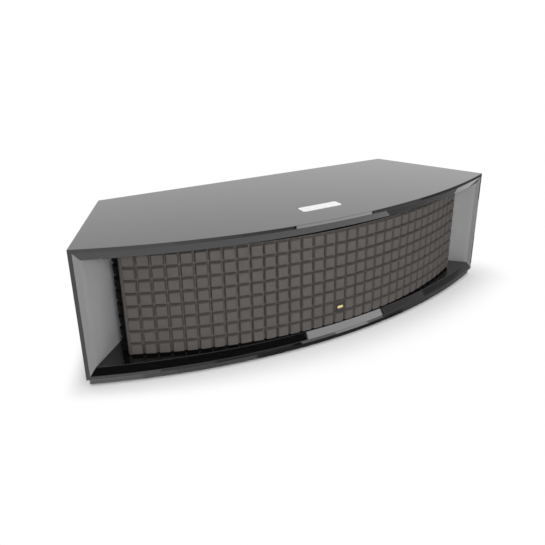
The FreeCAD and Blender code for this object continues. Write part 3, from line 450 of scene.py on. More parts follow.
# %% Inner faces, rear edges and underside
for name in LEVELS:
    left_back, left_inside, left_cheek = backs[-1, name]
    right_back, right_inside, right_cheek = backs[1, name]
    skin_faces.append(rings[name][2] + [right_cheek, right_inside, left_inside, left_cheek])
    skin_faces.append((left_back, right_back, right_inside, left_inside))
skin_faces.append(rings["bottom"][0] + [backs[1, "bottom"][0], backs[-1, "bottom"][0]])
print("with the inner faces and the underside:", len(skin_faces), "faces")

# %% The upper face, in two halves round a pocket for the touch strip
strip_low, strip_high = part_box("control_strip")
strip_gap = Vector((0.3 * MM, 0.3 * MM, 0))
strip_corner = 4.5 * MM
pocket_depth = 9 * MM
outline = rounded_outline(strip_low - strip_gap, strip_high + strip_gap, strip_corner)
mouth = [spot(x, y, case_high.z) for x, y in outline]
sole = [spot(x, y, case_high.z - pocket_depth) for x, y in outline]
join_rows(mouth + mouth[:1], sole + sole[:1])
skin_faces.append(sole)
half = len(outline) // 2
rear_middle = spot(0, rear_y, case_high.z)
front_edge = rings["top"][0]
front_middle = ARC_STEPS // 2
right_rim = mouth[:half + 1]
left_rim = [mouth[0]] + mouth[:half - 1:-1]
skin_faces.append(front_edge[front_middle:] + [backs[1, "top"][0], rear_middle] + right_rim[::-1])
skin_faces.append(front_edge[front_middle::-1] + [backs[-1, "top"][0], rear_middle] + left_rim[::-1])
print("with the upper face:", len(skin_faces), "faces")

# %% The case
polished_edge = 0.5 * MM
skin = mesh_from("lacquer_case", skin_points, skin_faces, satin_faces)
case = soften(new_piece("lacquer_case", skin, lacquer, cheek_satin), polished_edge)
place_piece(case, "black_lacquer", "top_panel", "bottom_panel", "left_side_panel", "right_side_panel")

# %% [markdown]
# ## The foam grille
# The grille is one block of open-cell foam, cut by a hot wire into rows and columns of raised square
# tiles, and bent to the front. One tile is modelled with softened edges. A geometry node tree then
# sets it along every row and column of the bend, and round the two ends, where the rows go on behind
# a straight corner. The cut ends are coloured black.

# %% Sizes of the foam
TILE_ROWS = 8
TILE_COLUMNS = 33
foam_low, foam_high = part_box("foam_grille")
groove_depth = 7 * MM
groove_mouth = 5.2 * MM
groove_floor = 2.0 * MM
end_groove = 2.6 * MM
end_rise = 3.6 * MM
corner_width = 6 * MM
foam_base = 22 * MM
foam_bulge = 78.4 * MM
foam_half = foam_high.x
foam_middle = (foam_low.z + foam_high.z) / 2
foam_radius = (foam_half ** 2 + foam_bulge ** 2) / (2 * foam_bulge)
foam_centre = foam_low.y + foam_radius
floor_radius = foam_radius - groove_depth
back_radius = floor_radius - foam_base
tile_angle = 2 * math.asin(foam_half / foam_radius) / TILE_COLUMNS
tile_width = foam_radius * tile_angle
tile_height = (foam_high.z - foam_low.z) / TILE_ROWS
print("tiles of %.2f x %.2f mm" % (tile_width / MM, tile_height / MM))

# %% Foam finish
FACE_DARK = (0.098, 0.091, 0.086, 1)
FACE_PALE = (0.120, 0.111, 0.105, 1)
GROOVE_PAINTED_LIGHT = (0.145, 0.134, 0.126, 1)
CELL = (0.06, 0.055, 0.052, 1)
face_depth = 0.2 * MM
wall_depth = 2.5 * MM
black_end_margin = 0.3 * MM
black_end_depth = 0.6 * MM
SPECKLE = 0.4
foam, tree = new_finish("tile_foam", Roughness=0.95, Specular_IOR_Level=0.15)
place = object_place(tree)
cells = noise(tree, scale=1800.0, detail=4.0, place=place)
face = mix_colours(noise(tree, scale=40.0, place=place), FACE_DARK, FACE_PALE)
across = axis_of(place, "X")
radius = length(across, axis_of(place, "Y") - foam_centre)
# Deeper than the tile faces, the groove walls and floors are painted lighter: painted light that offsets the
# shade in the grooves.
painted_groove_light = ramp(radius, foam_radius - face_depth, foam_radius - wall_depth)
speckled = mix_colours(cells * SPECKLE, mix_colours(painted_groove_light, face, GROOVE_PAINTED_LIGHT), CELL)
# Near each end and behind the tiles, the foam is coloured near black.
near_end = abs(across) > foam_half - end_groove - black_end_margin
behind_tiles = radius < floor_radius - black_end_depth
feed(tree, "Base Color", mix_colours(near_end * behind_tiles, speckled, grey(0.004)))
bump(tree, cells, strength=0.6, distance=0.3 * MM)
print("made", foam.name)

# %% A raised block
def tile_piece(name, left, right, depth):
    """A raised block whose face is at -Y; left and right are each its foot's and its face's X."""
    sink = 1 * MM
    shape = bmesh.new()
    rows = []
    for y, step in ((sink, 0), (-depth, 1)):
        z = foot_height / 2 - step * slope
        corners = ((left[step], y, -z), (right[step], y, -z), (right[step], y, z), (left[step], y, z))
        rows.append([shape.verts.new(corner) for corner in corners])
    foot, face = rows
    shape.faces.new(foot)
    shape.faces.new(face[::-1])
    for index in range(4):
        after = (index + 1) % 4
        shape.faces.new((foot[index], face[index], face[after], foot[after]))
    bmesh.ops.recalc_face_normals(shape, faces=shape.faces)
    soft = [line for line in shape.edges if not all(point in foot for point in line.verts)]
    bmesh.ops.bevel(shape, geom=soft, offset=tile_edge, segments=2, profile=0.5, affect="EDGES",
                    clamp_overlap=True)
    mesh = bpy.data.meshes.new(name)
    shape.to_mesh(mesh)
    shape.free()
    return new_piece(name, mesh)


# %% One tile, one for the ends of a row, and one block for the cut ends
tile_edge = 0.4 * MM
slope = (groove_mouth - groove_floor) / 2
foot_height = tile_height - groove_floor
foot_half = (tile_width - groove_floor) / 2
face_half = (tile_width - groove_mouth) / 2
last_angle = tile_angle * (TILE_COLUMNS - 1) / 2
end_foot = floor_radius * (math.asin(foam_half / floor_radius) - last_angle)
end_reach = (foam_base - corner_width) / 2
tile = tile_piece("tile_pattern", (-foot_half, -face_half), (foot_half, face_half), groove_depth)
end_tile = tile_piece("end_tile_pattern", (-foot_half, -face_half), (end_foot, face_half), groove_depth)
end_block = tile_piece("end_pattern", (-end_reach, -end_reach), (end_reach, end_reach),
                       end_groove + end_rise)
print("a tile has", len(tile.data.polygons), "faces")

# %% The bowed block behind the tiles
def arc_y(radius, x):
    """The Y at some X of an arc about the foam's centre."""
    return foam_centre - math.sqrt(radius ** 2 - x ** 2)


def bowed_block(front_radius, back_radius, half, steps=TILE_COLUMNS * 2):
    """Points and faces of a block between two arcs, as high as the foam."""
    points = []
    for step in range(steps + 1):
        x = half * (2 * step / steps - 1)
        for y in (arc_y(front_radius, x), arc_y(back_radius, x)):
            points += [(x, y, foam_low.z), (x, y, foam_high.z)]
    faces = []
    for a in range(0, 4 * steps, 4):
        b = a + 4
        faces += [(a, b, b + 1, a + 1), (a + 2, a + 3, b + 3, b + 2),
                  (a, a + 2, b + 2, b), (a + 1, b + 1, b + 3, a + 3)]
    last = 4 * steps
    faces += [(0, 1, 3, 2), (last, last + 2, last + 3, last + 1)]
    return points, faces


# %% Upright bars along the foam's ends
BAR_SHARE = 0.85
bar_sink = 0.15 * MM


def corner_bar(side):
    """An upright bar that closes the rows along the wall of the end tiles."""
    along = Vector((math.cos(last_angle), math.sin(last_angle)))
    out = Vector((math.sin(last_angle), -math.cos(last_angle)))
    foot = Vector((0, foam_centre)) + out * (floor_radius - bar_sink) + along * end_foot
    crest = foot + (along * (face_half - end_foot) + out * groove_depth) * BAR_SHARE
    outline = [(side * x, y) for x, y in (foot, crest - out * groove_depth, crest)][::side]
    points = [(x, y, z) for z in (foam_low.z, foam_high.z) for x, y in outline]
    return points, [(2, 1, 0), (3, 4, 5), (0, 1, 4, 3), (1, 2, 5, 4), (2, 0, 3, 5)]


# %% The block, with its ends
end_x = foam_half - end_groove
end_y = (arc_y(floor_radius, end_x) + corner_width + arc_y(back_radius, end_x)) / 2
skin_sink = 0.2 * MM
block_parts = [bowed_block(floor_radius, back_radius, end_x),
               bowed_block(floor_radius - skin_sink, floor_radius - corner_width, foam_half),
               corner_bar(-1), corner_bar(1)]
points = []
faces = []
for more_points, more_faces in block_parts:
    faces += [[corner + len(points) for corner in face] for face in more_faces]
    points += more_points
block = mesh_from("foam_grille", points, faces)
grille = new_piece("tile_grille", block, foam)
print("foam block of", len(block.polygons), "faces")

# %% Tools for geometry trees
def new_layout(name, kinds):
    """A geometry tree with named inputs; gives the tree and a Value for each input."""
    tree = bpy.data.node_groups.new(name, "GeometryNodeTree")
    kinds = {"Geometry": "Geometry", **kinds}
    for socket, kind in kinds.items():
        tree.interface.new_socket(socket, in_out="INPUT", socket_type="NodeSocket" + kind)
    tree.interface.new_socket("Geometry", in_out="OUTPUT", socket_type="NodeSocketGeometry")
    first = add_node(tree, "NodeGroupInput")
    return tree, {socket: sibling(first, socket) for socket in kinds}


def vector(tree, x, y, z):
    return add_node(tree, "ShaderNodeCombineXYZ", inputs={"X": x, "Y": y, "Z": z})


def new_points(count, position):
    return add_node(position.tree, "GeometryNodePoints", inputs={"Count": count, "Position": position})


def set_out(points, rotation, shape):
    """Copies of an object on points."""
    tree = points.tree
    pattern = add_node(tree, "GeometryNodeObjectInfo", inputs={"Object": shape}, output="Geometry")
    inputs = {"Points": points, "Instance": pattern, "Rotation": rotation}
    return add_node(tree, "GeometryNodeInstanceOnPoints", inputs=inputs)


def end_layout(parts, material):
    """Join the parts, make the copies real, give them their finish and end the tree."""
    tree = material.tree
    joined = add_node(tree, "GeometryNodeJoinGeometry", inputs={0: parts})
    solid = add_node(tree, "GeometryNodeRealizeInstances", inputs={"Geometry": joined})
    coated = add_node(tree, "GeometryNodeSetMaterial", inputs={"Geometry": solid, "Material": material})
    add_node(tree, "NodeGroupOutput", inputs={0: coated})


def apply_layout(piece, tree, sizes):
    """Give a piece a tree with its inputs, and keep the result as a plain mesh."""
    modifier = piece.modifiers.new("layout", "NODES")
    modifier.node_group = tree
    for item in tree.interface.items_tree:
        if item.in_out == "INPUT" and item.name in sizes:
            modifier[item.identifier] = sizes[item.name]
    return plain_mesh(piece)


# %% Inputs of the tree that sets the tiles
tiles_tree, given = new_layout("tile_layout", {
    "Columns": "Int", "Rows": "Int", "Column Angle": "Float", "Row Height": "Float",
    "Floor Radius": "Float", "Centre Y": "Float", "Middle Z": "Float", "End X": "Float",
    "End Y": "Float", "Tile": "Object", "End Tile": "Object", "End Block": "Object",
    "Material": "Material"})
number = add_node(tiles_tree, "GeometryNodeInputIndex")
column = ((number + 0.5) / given["Rows"]).apply("FLOOR")
row = number - column * given["Rows"]
level = (row - (given["Rows"] - 1) / 2) * given["Row Height"] + given["Middle Z"]
last_turn = (given["Columns"] - 1) / 2 * given["Column Angle"]


def on_bend(turn):
    """A place on the bend at some turn from the middle."""
    x = turn.apply("SINE") * given["Floor Radius"]
    y = given["Centre Y"] - turn.apply("COSINE") * given["Floor Radius"]
    return vector(tiles_tree, x, y, level)


# %% Geometry nodes that set the tiles
turn = (column + 1) * given["Column Angle"] - last_turn
tiles = set_out(new_points((given["Columns"] - 2) * given["Rows"], on_bend(turn)),
                vector(tiles_tree, 0.0, 0.0, turn), given["Tile"])
side = column * 2 - 1
end_turn = side * last_turn
end_tiles = set_out(new_points(given["Rows"] * 2, on_bend(end_turn)),
                    vector(tiles_tree, 0.0, (1 - column) * math.pi, end_turn), given["End Tile"])
end_place = vector(tiles_tree, side * given["End X"], given["End Y"], level)
end_blocks = set_out(new_points(given["Rows"] * 2, end_place),
                     vector(tiles_tree, 0.0, 0.0, side * (math.pi / 2)), given["End Block"])
end_layout([given["Geometry"], tiles, end_tiles, end_blocks], given["Material"])
print("the tree has", len(tiles_tree.nodes), "nodes")

# %% Lay the tiles
apply_layout(grille, tiles_tree, {
    "Columns": TILE_COLUMNS, "Rows": TILE_ROWS, "Column Angle": tile_angle, "Row Height": tile_height,
    "Floor Radius": floor_radius, "Centre Y": foam_centre, "Middle Z": foam_middle, "End X": end_x,
    "End Y": end_y, "Tile": tile, "End Tile": end_tile, "End Block": end_block, "Material": foam})
for pattern in (tile, end_tile, end_block):
    bpy.data.objects.remove(pattern)
place_piece(grille, "tile_foam", "foam_grille")

# %% [markdown]
# ## Touch strip and badge
# A white acrylic strip lies in the top, with four faint marks under its surface. The marks are drawn
# in its finish from distances, since they have no thickness. The badge is a dark plate the size of a
# tile, with a plain gold bar. All three are slabs with rounded corners and softened edges.

# %% Slabs
def rounded_slab(name, box, corner, edge, material, upright=False):
    """A slab with rounded corners; an upright one faces -Y, any other faces up."""
    low, high = box
    if upright:
        outline = rounded_outline(low.xz, high.xz, corner)
        points = [(x, y, z) for y in (low.y, high.y) for x, z in outline]
    else:
        outline = rounded_outline(low, high, corner)
        points = [(x, y, z) for z in (low.z, high.z) for x, y in outline]
    count = len(outline)
    faces = [list(range(count)), list(range(count, 2 * count))]
    for step in range(count):
        after = (step + 1) % count
        faces.append((step, after, count + after, count + step))
    piece = new_piece(name, mesh_from(name, points, faces), material)
    return soften(piece, edge, angle=40.0)


# %% Marks of the touch strip
acrylic, tree = new_finish("strip_acrylic", Coat_Weight=0.3, Coat_Roughness=0.05, IOR=1.49)
place = object_place(tree)
strip_middle = (strip_low + strip_high) / 2
across = axis_of(place, "X") - strip_middle.x
along = axis_of(place, "Y") - strip_middle.y
mark_pitch = 16 * MM
mark_size = 2.0 * MM
mark_line = 0.32 * MM
dot_size = 1.2 * MM


def bar(first, second):
    return (abs(first) < mark_size) * (abs(second) < mark_line)


def spread(offset):
    """The distance from a point on the strip's long line."""
    return length(across - offset, along)


minus = bar(across + mark_pitch / 2, along)
plus = bar(across - mark_pitch / 2, along) + bar(along, across - mark_pitch / 2)
circle = abs(spread(-1.5 * mark_pitch) - mark_size) < mark_line
dot = spread(1.5 * mark_pitch) < dot_size
marks = (minus + plus + circle + dot).apply("MINIMUM", 1.0)

# %% Strip finish
MARK_STRENGTH = 0.45
cloud = noise(tree, scale=30.0, place=place)
white = mix_colours(cloud, grey(0.93), grey(0.96))
feed(tree, "Base Color", mix_colours(marks * MARK_STRENGTH, white, grey(0.45)))
feed(tree, "Roughness", between(cloud, 0.18, 0.26))
print("made", acrylic.name)

# %% Strip, plate and bar
BADGE_DARK = (0.029, 0.027, 0.026)
BADGE_GOLD = (0.76, 0.6, 0.28)
strip_edge = 0.5 * MM
badge_edge = 0.2 * MM
plate_corner = 1.0 * MM
bar_corner = 1.6 * MM
badge_black = plain_finish("badge_black", BADGE_DARK, roughness=0.55, Specular_IOR_Level=0.2)
badge_gold = plain_finish("badge_gold", BADGE_GOLD, roughness=0.28, Metallic=1.0)
touch_strip = rounded_slab("touch_strip", (strip_low, strip_high), strip_corner, strip_edge, acrylic)
place_piece(touch_strip, "strip_acrylic", "control_strip")
badge_plate = rounded_slab("tile_badge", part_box("badge_plate"), plate_corner, badge_edge, badge_black,
                           upright=True)
place_piece(badge_plate, "badge_black", "badge_plate")
badge_bar = rounded_slab("gold_bar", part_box("badge_tab"), bar_corner, badge_edge, badge_gold, upright=True)
place_piece(badge_bar, "badge_gold", "badge_tab")

# %% [markdown]
# ## Finishes for the CAD pieces
# The plinth, feet, drivers, ports and sockets keep their CAD shapes. Each gets the finish that its
# slot in the record names.

# %% Brushed metal, streaked along X
STREAK_SCALES = (25, 25, 2200)
brushed, tree = new_finish("plate_aluminium", Metallic=0.9)
stretched = add_node(tree, "ShaderNodeVectorMath", {"operation": "MULTIPLY"},
                     {0: object_place(tree), 1: STREAK_SCALES})
streak = noise(tree, scale=1.0, place=stretched)
feed(tree, "Base Color", mix_colours(streak, grey(0.10), grey(0.17)))
feed(tree, "Roughness", between(streak, 0.3, 0.45))
bump(tree, streak, strength=0.12, distance=0.01 * MM)
print("made", brushed.name)

# %% Finishes by slot
BLACK = (0.02, 0.02, 0.02)
FINISHES = {
    "cheek_lacquer": cheek_satin,
    "black_board": plain_finish("black_board", (0.018, 0.018, 0.018), 0.22),
    "foot_rubber": plain_finish("foot_rubber", BLACK, 0.8),
    "frame_plastic": plain_finish("frame_plastic", BLACK, 0.55),
    "badge_black": badge_black,
    "badge_gold": badge_gold,
    "strip_acrylic": acrylic,
    "circuit_green": plain_finish("circuit_green", (0.02, 0.12, 0.05), 0.4),
    "driver_metal": plain_finish("driver_metal", (0.03, 0.03, 0.032), 0.5),
    "paper_cone": plain_finish("paper_cone", (0.72, 0.70, 0.66), 0.8),
    "surround_rubber": plain_finish("surround_rubber", (0.015, 0.015, 0.015), 0.7),
    "magnet_ferrite": plain_finish("magnet_ferrite", (0.08, 0.08, 0.085), 0.55, Metallic=0.6),
    "dome_metal": plain_finish("dome_metal", (0.75, 0.75, 0.77), 0.3, Metallic=1.0),
    "port_plastic": plain_finish("port_plastic", (0.02, 0.02, 0.021), 0.45),
    "plate_aluminium": brushed,
    "socket_plastic": plain_finish("socket_plastic", BLACK, 0.35),
    "socket_brass": plain_finish("socket_brass", (0.80, 0.62, 0.30), 0.25, Metallic=1.0),
    "screw_steel": plain_finish("screw_steel", (0.10, 0.10, 0.10), 0.35, Metallic=1.0),
    "black_lacquer": lacquer,
    "tile_foam": foam,
}
for part in frame["record"]["subparts"]:
    node = frame["nodes"][part["node"]]
    node.data.materials.clear()
    node.data.materials.append(FINISHES[part["material_slot"]])

# %% [markdown]
# ## The rear
# Behind, the speaker has screws, sockets and a plate of brushed metal. One screw with a hexagonal
# recess is turned, and a geometry node tree sets it wherever the CAD model has one. A second tree
# sets a row of strips: eight contacts in the network socket, and three pins in the mains inlet. The
# ground post is a knurled nut, and each phono socket has its coloured insulator.

# %% Turned pieces
knurl_depth = 0.3 * MM


def ring_radius(kind, radius, turn, step):
    """The radius at some turn of a ring that is hexagonal, knurled or, with no kind, round."""
    if "hexagon" in kind:
        return radius * math.cos(math.pi / 6) / math.cos(turn % (math.pi / 3) - math.pi / 6)
    if "knurled" in kind and step % 2:
        return radius - knurl_depth
    return radius


def turned_mesh(name, profile, centre=(0, 0, 0), steps=60):
    """Turn a profile of (radius, depth) or (radius, depth, kind), in mm, about a line along Y."""
    points = []
    for radius, depth, *kind in profile:
        for step in range(steps):
            turn = 2 * math.pi * step / steps
            reach = ring_radius(kind, radius * MM, turn, step)
            points.append((centre[0] + reach * math.cos(turn), centre[1] + depth * MM,
                           centre[2] + reach * math.sin(turn)))
    faces = []
    for first in range(0, len(points) - steps, steps):
        for step in range(steps):
            after = (step + 1) % steps
            faces.append((first + step, first + after, first + steps + after, first + steps + step))
    return mesh_from(name, points, faces)


def middle_of(low, high):
    """The middle of a box's front face."""
    return ((low.x + high.x) / 2, low.y, (low.z + high.z) / 2)


# %% Where the CAD model has screws
screw_reach = 8 * MM
screw_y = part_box("rear_screws")[0].y
groups = []
for corner in sorted((point.co.x, point.co.z) for point in frame["nodes"]["rear_screws"].data.vertices):
    near = [group for group in groups if math.dist(group[0], corner) < screw_reach]
    if near:
        near[0].append(corner)
    else:
        groups.append([corner])
spots = []
for group in groups:
    wide, high = zip(*group)
    spots.append(((min(wide) + max(wide)) / 2, screw_y, (min(high) + max(high)) / 2))
print(len(spots), "screws")

# %% Screw heads
SCREW = [(0, 0), (3.5, 0), (3.5, 1.2), (3.2, 1.8), (2.6, 2.15), (2.2, 2.2), (1.8, 2.2, "hexagon"),
         (1.8, 1.0, "hexagon"), (0, 1.0)]
screw = new_piece("screw_pattern", turned_mesh("screw_pattern", SCREW))
screw_heads = new_piece("rear_screw_heads", mesh_from("rear_screw_heads", spots, []))
screws_tree, given = new_layout("screw_layout", {"Screw": "Object", "Material": "Material"})
heads = set_out(given["Geometry"], vector(screws_tree, 0.0, 0.0, 0.0), given["Screw"])
end_layout([heads], given["Material"])
apply_layout(screw_heads, screws_tree, {"Screw": screw, "Material": FINISHES["screw_steel"]})
bpy.data.objects.remove(screw)
place_piece(screw_heads, "screw_steel", "rear_screws")

# %% Geometry nodes that set a row of strips
rows_tree, given = new_layout("strip_layout", {
    "Count": "Int", "Pitch": "Float", "Middle Lift": "Float", "Centre": "Vector", "Strip": "Object",
    "Material": "Material"})
number = add_node(rows_tree, "GeometryNodeInputIndex")
step = number - (given["Count"] - 1) / 2
shift = vector(rows_tree, step * given["Pitch"], 0.0, (1 - abs(step) * 2) * given["Middle Lift"])
strip_place = add_node(rows_tree, "ShaderNodeVectorMath", {"operation": "ADD"},
                       {0: shift, 1: given["Centre"]})
strips = set_out(new_points(given["Count"], strip_place), vector(rows_tree, 0.0, 0.0, 0.0), given["Strip"])
end_layout([given["Geometry"], strips], given["Material"])
print("the tree has", len(rows_tree.nodes), "nodes")


def strip_row(name, size, count, pitch, lift, centre):
    """A row of small blocks in brass."""
    shape = bmesh.new()
    bmesh.ops.create_cube(shape, size=1.0)
    bmesh.ops.scale(shape, vec=Vector(size), verts=shape.verts)
    mesh = bpy.data.meshes.new(name + "_pattern")
    shape.to_mesh(mesh)
    shape.free()
    pattern = new_piece(name + "_pattern", mesh)
    row = new_piece(name, bpy.data.meshes.new(name))
    apply_layout(row, rows_tree, {
        "Count": count, "Pitch": pitch, "Middle Lift": lift, "Centre": centre, "Strip": pattern,
        "Material": FINISHES["socket_brass"]})
    bpy.data.objects.remove(pattern)
    place_piece(row, "socket_brass")


# %% Contacts and pins
socket_wall = 1.2 * MM
contact = (0.5 * MM, 13 * MM, 0.5 * MM)
contact_drop = 1.2 * MM
low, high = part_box("network_socket")
x, y, _ = middle_of(low, high)
contact_place = (x, y + socket_wall + contact[1] / 2, high.z - socket_wall - contact_drop)
strip_row("network_contacts", contact, count=8, pitch=1.1 * MM, lift=0.0, centre=contact_place)
pin = (2 * MM, 14 * MM, 4 * MM)
x, y, z = middle_of(*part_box("mains_inlet"))
pin_place = (x, y + socket_wall + pin[1] / 2, z)
strip_row("mains_pins", pin, count=3, pitch=7 * MM, lift=2 * MM, centre=pin_place)

# %% Ground post
POST = [(0, 0), (4.5, 0), (4.5, 1.2), (3.2, 1.2), (3.2, 2.0), (4.1, 2.0), (4.5, 2.5, "knurled"),
        (4.5, 11.0, "knurled"), (4.1, 11.6), (2.4, 12.0), (0, 12.0)]
post_mesh = turned_mesh("knurled_post", POST, middle_of(*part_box("ground_post")))
ground_post = new_piece("knurled_post", post_mesh, FINISHES["socket_brass"])
place_piece(ground_post, "socket_brass", "ground_post")

# %% Phono insulators
INSULATOR = [(0, 2.0), (1.7, 2.0), (1.7, 8.0), (3.2, 8.0), (3.2, 0), (0, 0)]
RED = (0.55, 0.02, 0.02)
WHITE = (0.8, 0.8, 0.8)
phono_radius = 5 * MM
low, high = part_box("rca_sockets")
PHONO = {"phono_red": (low.x + phono_radius, RED), "phono_white": (high.x - phono_radius, WHITE)}
for name, (x, colour) in PHONO.items():
    mesh = turned_mesh(name, INSULATOR, (x, screw_y, (low.z + high.z) / 2))
    place_piece(new_piece(name, mesh, plain_finish(name, colour, 0.35)), "socket_plastic")

# %% [markdown]
# ## Studio
# A white floor and a white world, with four soft lamps: one in front on the left, a weak one near the
# middle, one from the right and one overhead. Lacquer shows little but reflections, so cards stand
# round the front, as in a product studio. A bright one with a dark border lights a stretch of the
# upper rim and of the lower bevel, a black one darkens the bevel beside it, and grey ones and strips
# on the floor shade the rest.

# %% World
AMBIENT = 0.45


def ray_kinds(tree):
    """Ones for the rays that come from the camera, and for those from a reflection or a clear body."""
    from_camera = add_node(tree, "ShaderNodeLightPath", output="Is Camera Ray")
    reflected = sibling(from_camera, "Is Glossy Ray")
    return from_camera, reflected.apply("MAXIMUM", sibling(from_camera, "Is Transmission Ray"))


world = bpy.data.worlds.new("studio")
scene.world = world
world.use_nodes = True
backdrop = world.node_tree.nodes["Background"]
backdrop.inputs["Color"].default_value = grey(1.0)
from_camera, mirrored = ray_kinds(world.node_tree)
link(between(from_camera + mirrored, AMBIENT, 1.0), backdrop, "Strength")
print("world made, ambient light", AMBIENT)

# %% How far each point of the floor lies from the case
floor_finish, tree = new_finish("studio_floor", Base_Color=grey(0.95), Roughness=0.8,
                                Specular_IOR_Level=0.0)
place = object_place(tree)
across = axis_of(place, "X")
along = axis_of(place, "Y")
before = length(across, along - bow_centre) - bow_radius
beside = (abs(across) + along * side_slope - side_x(0.0)) / math.hypot(1, side_slope)
past_end = before.apply("MAXIMUM", along - rear_y)
outside = length(past_end.apply("MAXIMUM", 0.0), beside.apply("MAXIMUM", 0.0))
away = outside + past_end.apply("MAXIMUM", beside).apply("MINIMUM", 0.0)

# %% Floor
CAMERA_GLOW = 0.2
CAMERA_REACH = 0.097
MIRROR_GLOW = 0.9
MIRROR_REACH = 0.12
NARROW = 0.4
narrow_x = -0.42
wide_x = 0.0
dark_inset = 7 * MM
light_inset = 1 * MM
widening = ramp(across, narrow_x, wide_x, low=NARROW)
clear = ramp(away, -dark_inset, -light_inset)


def emission(tree, radiance):
    return add_node(tree, "ShaderNodeEmission", inputs={"Color": grey(1.0), "Strength": radiance})


def fade(near, reach):
    """Nothing under the speaker, a near level beside it, and a rise to 1 at some reach."""
    return ramp(away, 0.0, widening * reach, low=near, interpolation_type="SMOOTHSTEP") * clear


from_camera, mirrored = ray_kinds(tree)
share = from_camera * fade(CAMERA_GLOW, CAMERA_REACH) + mirrored * fade(MIRROR_GLOW, MIRROR_REACH)
shaded = Value(tree, tree.nodes["Principled BSDF"].outputs[0])
mixed = add_node(tree, "ShaderNodeMixShader", inputs={0: share, 1: shaded, 2: emission(tree, 1.0)})
link(mixed, tree.nodes["Material Output"], "Surface")
edge = 6.0
corners = [(-edge, -edge, 0), (edge, -edge, 0), (edge, edge, 0), (-edge, edge, 0)]
new_piece("ground", mesh_from("ground", corners, [(0, 1, 2, 3)]), floor_finish)
print("floor made, its edge %.0f m from the middle" % edge)

# %% Lamps
def lamp(name, place, target, width, height, radiance):
    """An area lamp whose face has this radiance, aimed at a point and left out of reflections."""
    data = bpy.data.lights.new(name, "AREA")
    data.shape = "RECTANGLE"
    data.size = width
    data.size_y = height
    data.energy = radiance * math.pi * width * height
    holder = bpy.data.objects.new(name, data)
    holder.location = place
    holder.rotation_euler = (Vector(target) - Vector(place)).to_track_quat("-Z", "Y").to_euler()
    holder.visible_camera = False
    holder.visible_glossy = False
    scene.collection.objects.link(holder)


FRONT = (0, 0, 0.1)
GROUND = (0, 0, 0)
lamp("front_softbox", (-0.4, -0.87, 0.5), FRONT, width=0.35, height=0.35, radiance=8.5)
lamp("middle_softbox", (0.3, -1.1, 0.45), FRONT, width=0.5, height=0.5, radiance=1.3)
lamp("side_softbox", (1.6, -1.2, 0.8), FRONT, width=1.0, height=1.0, radiance=1.6)
lamp("top_softbox", (0.0, -0.1, 2.4), GROUND, width=2.5, height=1.6, radiance=1.5)
scene.view_settings.view_transform = "Standard"
print("lamps set")

# %% Cards that only reflections see
def card(name, points, radiance):
    """A flat card that only reflections see."""
    finish = bpy.data.materials.new(name)
    finish.use_nodes = True
    tree = finish.node_tree
    link(emission(tree, radiance), tree.nodes["Material Output"], "Surface")
    piece = new_piece(name, mesh_from(name, points, [list(range(len(points)))]), finish)
    piece.visible_camera = False
    piece.visible_diffuse = False
    piece.visible_transmission = False
    piece.visible_shadow = False
    print(name, "of radiance", radiance)


def standing(left, right, low, high):
    """The corners of an upright card between two places on the floor."""
    return [(*left, low), (*right, low), (*right, high), (*left, high)]


# %% The bright card, in two bands with dark borders
card_foot = 1 * MM
band_edge = 55 * MM
band_top = 200 * MM
BRIGHT = 3.4
DARK = 0.0
border = Vector((0.0112, 0.0042))
behind = Vector((0.0007, -0.0019))
BANDS = {"low": ((0.133, -0.661), (0.465, -0.5355), card_foot, band_edge),
         "high": ((0.149, -0.655), (0.489, -0.526), band_edge, band_top)}
for band, (left, right, low, high) in BANDS.items():
    left_end = Vector(left) - border + behind
    right_end = Vector(right) + border + behind
    card(band + "_bright_card", standing(left, right, low, high), BRIGHT)
    card(band + "_border_card", standing(left_end, right_end, low, high), DARK)

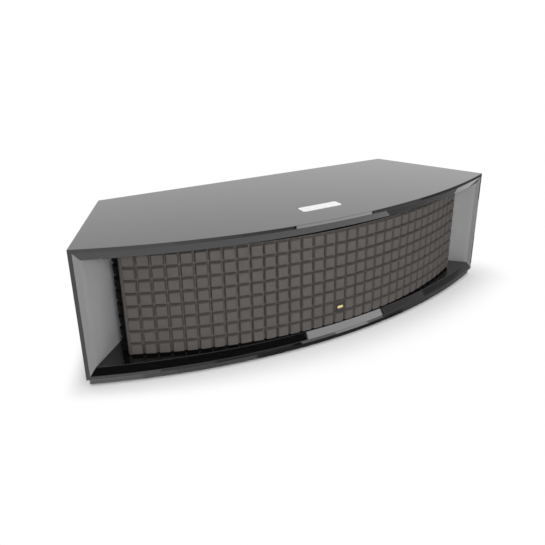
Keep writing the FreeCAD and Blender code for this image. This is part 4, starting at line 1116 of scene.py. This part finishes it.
# %% Darker cards
card_top = 0.16
bend_near = (0.658, -0.367)
bend_far = (0.95, -0.1)
card("black_card", standing((-1.2, -0.775), (0.258, -0.88), low=0.09, high=0.26), DARK)
card("low_grey_card", standing((0.48, -0.53), bend_near, card_foot, band_edge), radiance=0.45)
card("left_dim_card", standing((0.046, -0.694), (0.122, -0.6655), card_foot, band_edge), radiance=0.5)
card("grey_card", standing((0.501, -0.5215), bend_near, band_edge, card_top), radiance=0.4)
card("dim_card", standing(bend_near, bend_far, card_foot, card_top), radiance=0.2)
card("far_card", standing(bend_far, (1.0, 0.5), card_foot, card_top), radiance=0.15)
SIDE_CORNERS = ((0.253, -0.32), (0.62, -0.26), (0.92, -0.22), (0.92, -0.06), (0.5, -0.04), (0.353, -0.1))
card("side_card", [(*corner, card_foot) for corner in SIDE_CORNERS], radiance=0.3)

# %% Strips on the floor, along the bow
STRIP_STEPS = 12
strip_lift = 2 * MM


def floor_strip(name, left, right, near, far, radiance):
    """A card on the floor along the bow, between two distances in front of it."""
    line = [left + (right - left) * step / STRIP_STEPS for step in range(STRIP_STEPS + 1)]
    outer = [(x, bow(x) - far, strip_lift) for x in line]
    inner = [(x, bow(x) - near, strip_lift) for x in line]
    card(name, outer + inner[::-1], radiance)


def floor_strips(name, near, far, strips):
    """Numbered cards on the floor, given by the left end, the right end and the radiance of each."""
    for index, (left, right, radiance) in enumerate(strips):
        floor_strip("%s_%d" % (name, index), left, right, near, far, radiance)


floor_strips("plinth_strip", near=-0.01, far=0.014, strips=[
    (-0.4, -0.32, 1.9), (-0.32, -0.27, 1.3), (-0.145, 0.16, 0.0)])
floor_strips("rim_strip", near=0.014, far=0.045, strips=[
    (-0.3, -0.216, 0.55), (-0.216, -0.08, 0.27), (-0.08, -0.064, 0.05), (-0.064, 0.005, 1.2),
    (0.005, 0.078, 2.4), (0.078, 0.115, 1.0)])
floor_strip("rim_strip_6", left=0.115, right=0.43, near=0.012, far=0.045, radiance=0.3)
floor_strip("plinth_strip_3", left=0.16, right=0.43, near=-0.01, far=0.012, radiance=0.3)
floor_strips("front_strip", near=0.42, far=0.7, strips=[
    (-0.36, -0.26, 0.85), (-0.26, -0.18, 0.78), (-0.18, -0.1, 0.7), (-0.1, -0.03, 0.63),
    (-0.03, 0.12, 0.56)])
